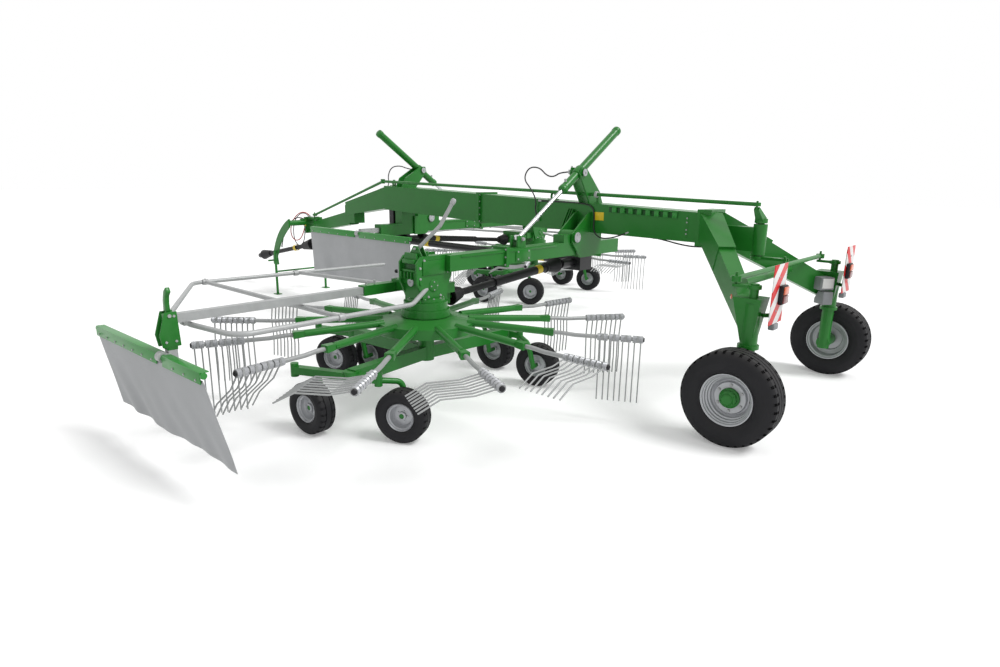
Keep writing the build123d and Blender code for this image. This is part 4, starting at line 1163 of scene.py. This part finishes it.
springs = {
    "arms": 13, "firstArm": 262.8, "first": 1.535, "step": 0.095, "clamps": 4,
    "clamp": 0.016, "coil": 0.034, "radius": 0.0272, "wire": 0.0042, "turns": 3, "inside": 0.002,
    "boltUp": 0.0215, "boltSize": 0.0095, "tip": 1.868,
    "cap": [
        (0, 0.006), (0.015, 0.005), (0.0195, 0), (0.0195, -0.03), (0.0172, -0.03), (0.0172, 0),
        (0, 0.001),
    ],
}


def coilProfile():
    s = springs
    profile = [(s["radius"] - s["inside"], -s["coil"] / 2), (s["radius"], -s["coil"] / 2)]
    for k in range(s["turns"]):
        middle = ((k + 0.5) / s["turns"] - 0.5) * s["coil"]
        profile.append((s["radius"] + s["wire"], middle))
        profile.append((s["radius"], middle + 0.5 * s["coil"] / s["turns"]))
    return profile + [(s["radius"] - s["inside"], s["coil"] / 2)]


def springArm():
    # coils, clamp bolts and end cap of one arm that points along X
    s = springs
    ahead = Vector((1, 0, 0))
    bm = bmesh.new()
    for c in range(s["clamps"]):
        spot = ahead * (s["first"] + c * s["step"])
        for end in (-1, 1):
            middle = spot + ahead * end * (s["clamp"] + s["coil"]) / 2
            # the coils wear the lighter silver paint rather than the tines' darker steel: partly their own
            # silver finish, partly a painted highlight for the bright bulges at the clamps
            addSpun(bm, coilProfile(), aimed(middle, ahead), 10)
        addBolt(bm, spot + Vector((0, 0, s["boltUp"])), (0, 0, 1), s["boltSize"], 1)
    addSpun(bm, s["cap"], aimed(ahead * s["tip"], ahead), 14, 2)
    return meshFrom(bm, "springArm")


def makeSprings(name):
    arm = springArm()
    middle = Matrix.Translation(places["rotor_spin_" + name])
    bm = bmesh.new()
    for k in range(springs["arms"]):
        first = len(bm.verts)
        bm.from_mesh(arm)
        place = middle @ turned(springs["firstArm"] / 360 - k / springs["arms"])
        bmesh.ops.transform(bm, matrix=place, verts=list(bm.verts)[first:])
    bpy.data.meshes.remove(arm)
    mats = "silverPaint galvanised blackPlastic"
    finishPiece("tineSprings_" + name, bm, mats, "rotor_" + name)


for name, side in sides:
    makeSprings(name)
print("tine springs made")


# left curtain's arm: cheek plates, the hooked handle over the rail, and the sleeve's screws

armEnd = {
    "half": 0.0315, "plate": 0.007,
    "cheek": [(4.335, 0.865), (4.455, 0.865), (4.47, 0.95), (4.425, 1.1), (4.345, 1.1)],
    "bolts": ((4.365, 0.9), (4.43, 0.9), (4.365, 1.07)),
    "handle": [
        (0, 0), (0.05, 0), (0.046, 0.07), (0.058, 0.12), (0.088, 0.15), (0.07, 0.182),
        (0.03, 0.15), (0.008, 0.09),
    ],
    "screwsAt": (2.45, 2.68, 2.77),
}


def makeArmEnd():
    a = armEnd
    armX = places["curtain_fold_left"][0]
    bm = bmesh.new()
    for end in (-1, 1):
        x = armX + end * a["half"] - (a["plate"] if end < 0 else 0)
        addPlate(bm, a["cheek"], Matrix.Translation((x, 0, 0)) @ acrossX, a["plate"], 0.002)
        for y, z in a["bolts"]:
            addBolt(bm, (armX + end * (a["half"] + a["plate"]), y, z), (end, 0, 0), 0.008, 1)
    # the handle rises from the post and hooks backwards
    hook = Matrix.Translation((armX + 0.03, 4.374, 1.085)) @ turned(0.5)
    addPlate(bm, a["handle"], hook @ acrossY, 0.03, 0.006)
    addBlock(bm, (armX, 4.39, 0.965), (0.068, 0.068, 0.245), 0.004)
    addRod(bm, (armX - 0.045, 4.395, 1.075), (armX + 0.045, 4.395, 1.075), 0.012, 16, 1)
    finishPiece("curtainArmEnd", bm, "greenPaint galvanised", "curtain_arm_left")
    bm = bmesh.new()
    for y in a["screwsAt"]:
        addRod(bm, (armX, y, 1.091), (armX, y, 1.124), 0.008, 12)
        addBolt(bm, (armX, y, 1.118), (0, 0, 1), 0.011)
    finishPiece("armScrews", bm, "galvanised", "boom_left")


makeArmEnd()
print("curtain arms dressed")


# guard hoops: clamp collars where the tubes meet

guards = {
    "left": 0.985, "right": 1,  # height of the hoops
    "collar": mirrored([(0.0192, -0.026), (0.0255, -0.026), (0.0275, -0.018)]),
    "spots": (  # from the rotor's middle, ahead and out, and the tube's way
        ((-0.2115, 1.02), (-0.01, 0.8)), ((1.9345, 1.02), (0.15, 2.13)),
        ((1.872, 0.1), (0.15, 2.13)), ((0.42, 1.875), (-1, 0.05)),
    ),
    "screwOut": 0.027,
}


def makeCollars(name, side):
    x, y = places["rotor_spin_" + name][:2]
    bm = bmesh.new()
    for (ahead, out), (wayX, wayY) in guards["spots"]:
        place = aimed((x + ahead, y + side * out, guards[name]), (wayX, side * wayY, 0))
        addSpun(bm, guards["collar"], place, 28)
        across = place.to_3x3() @ Vector((0, 1, 0))
        addBolt(bm, place @ Vector((0, guards["screwOut"], 0)), across, 0.008)
    finishPiece("guardCollars_" + name, bm, "galvanised", "boom_" + name)


for name, side in sides:
    makeCollars(name, side)
print("guards dressed")


# headstock: bare plate, hose block and pin washers

headstock = {
    "plate": (3.2, 0.094, 1.185), "plateSize": (0.058, 0.008, 0.1),
    "block": (3.2, 0.13, 1.235), "blockSize": (0.07, 0.07, 0.04),
    "washer": [(0.0145, 0), (0.03, 0), (0.031, 0.004), (0.0145, 0.006)],
    "washerAt": (3.625, 0.425, 0.56), "capAt": (3.2, 0.4115, 1.19),
}


def makeHeadstockFittings():
    h = headstock
    bm = bmesh.new()
    addBlock(bm, h["plate"], h["plateSize"], 0.002)
    addBlock(bm, h["block"], h["blockSize"], 0.006, 2)
    for side in (1, -1):
        for what, profile, steps in (("washerAt", h["washer"], 28), ("capAt", pins["small"], 32)):
            x, y, z = h[what]
            addSpun(bm, profile, aimed((x, side * y, z), (0, side, 0)), steps, 1)
    finishPiece("headstockFittings", bm, "yellowPaint galvanised greenPaint", "headstock")


makeHeadstockFittings()
print("headstock dressed")
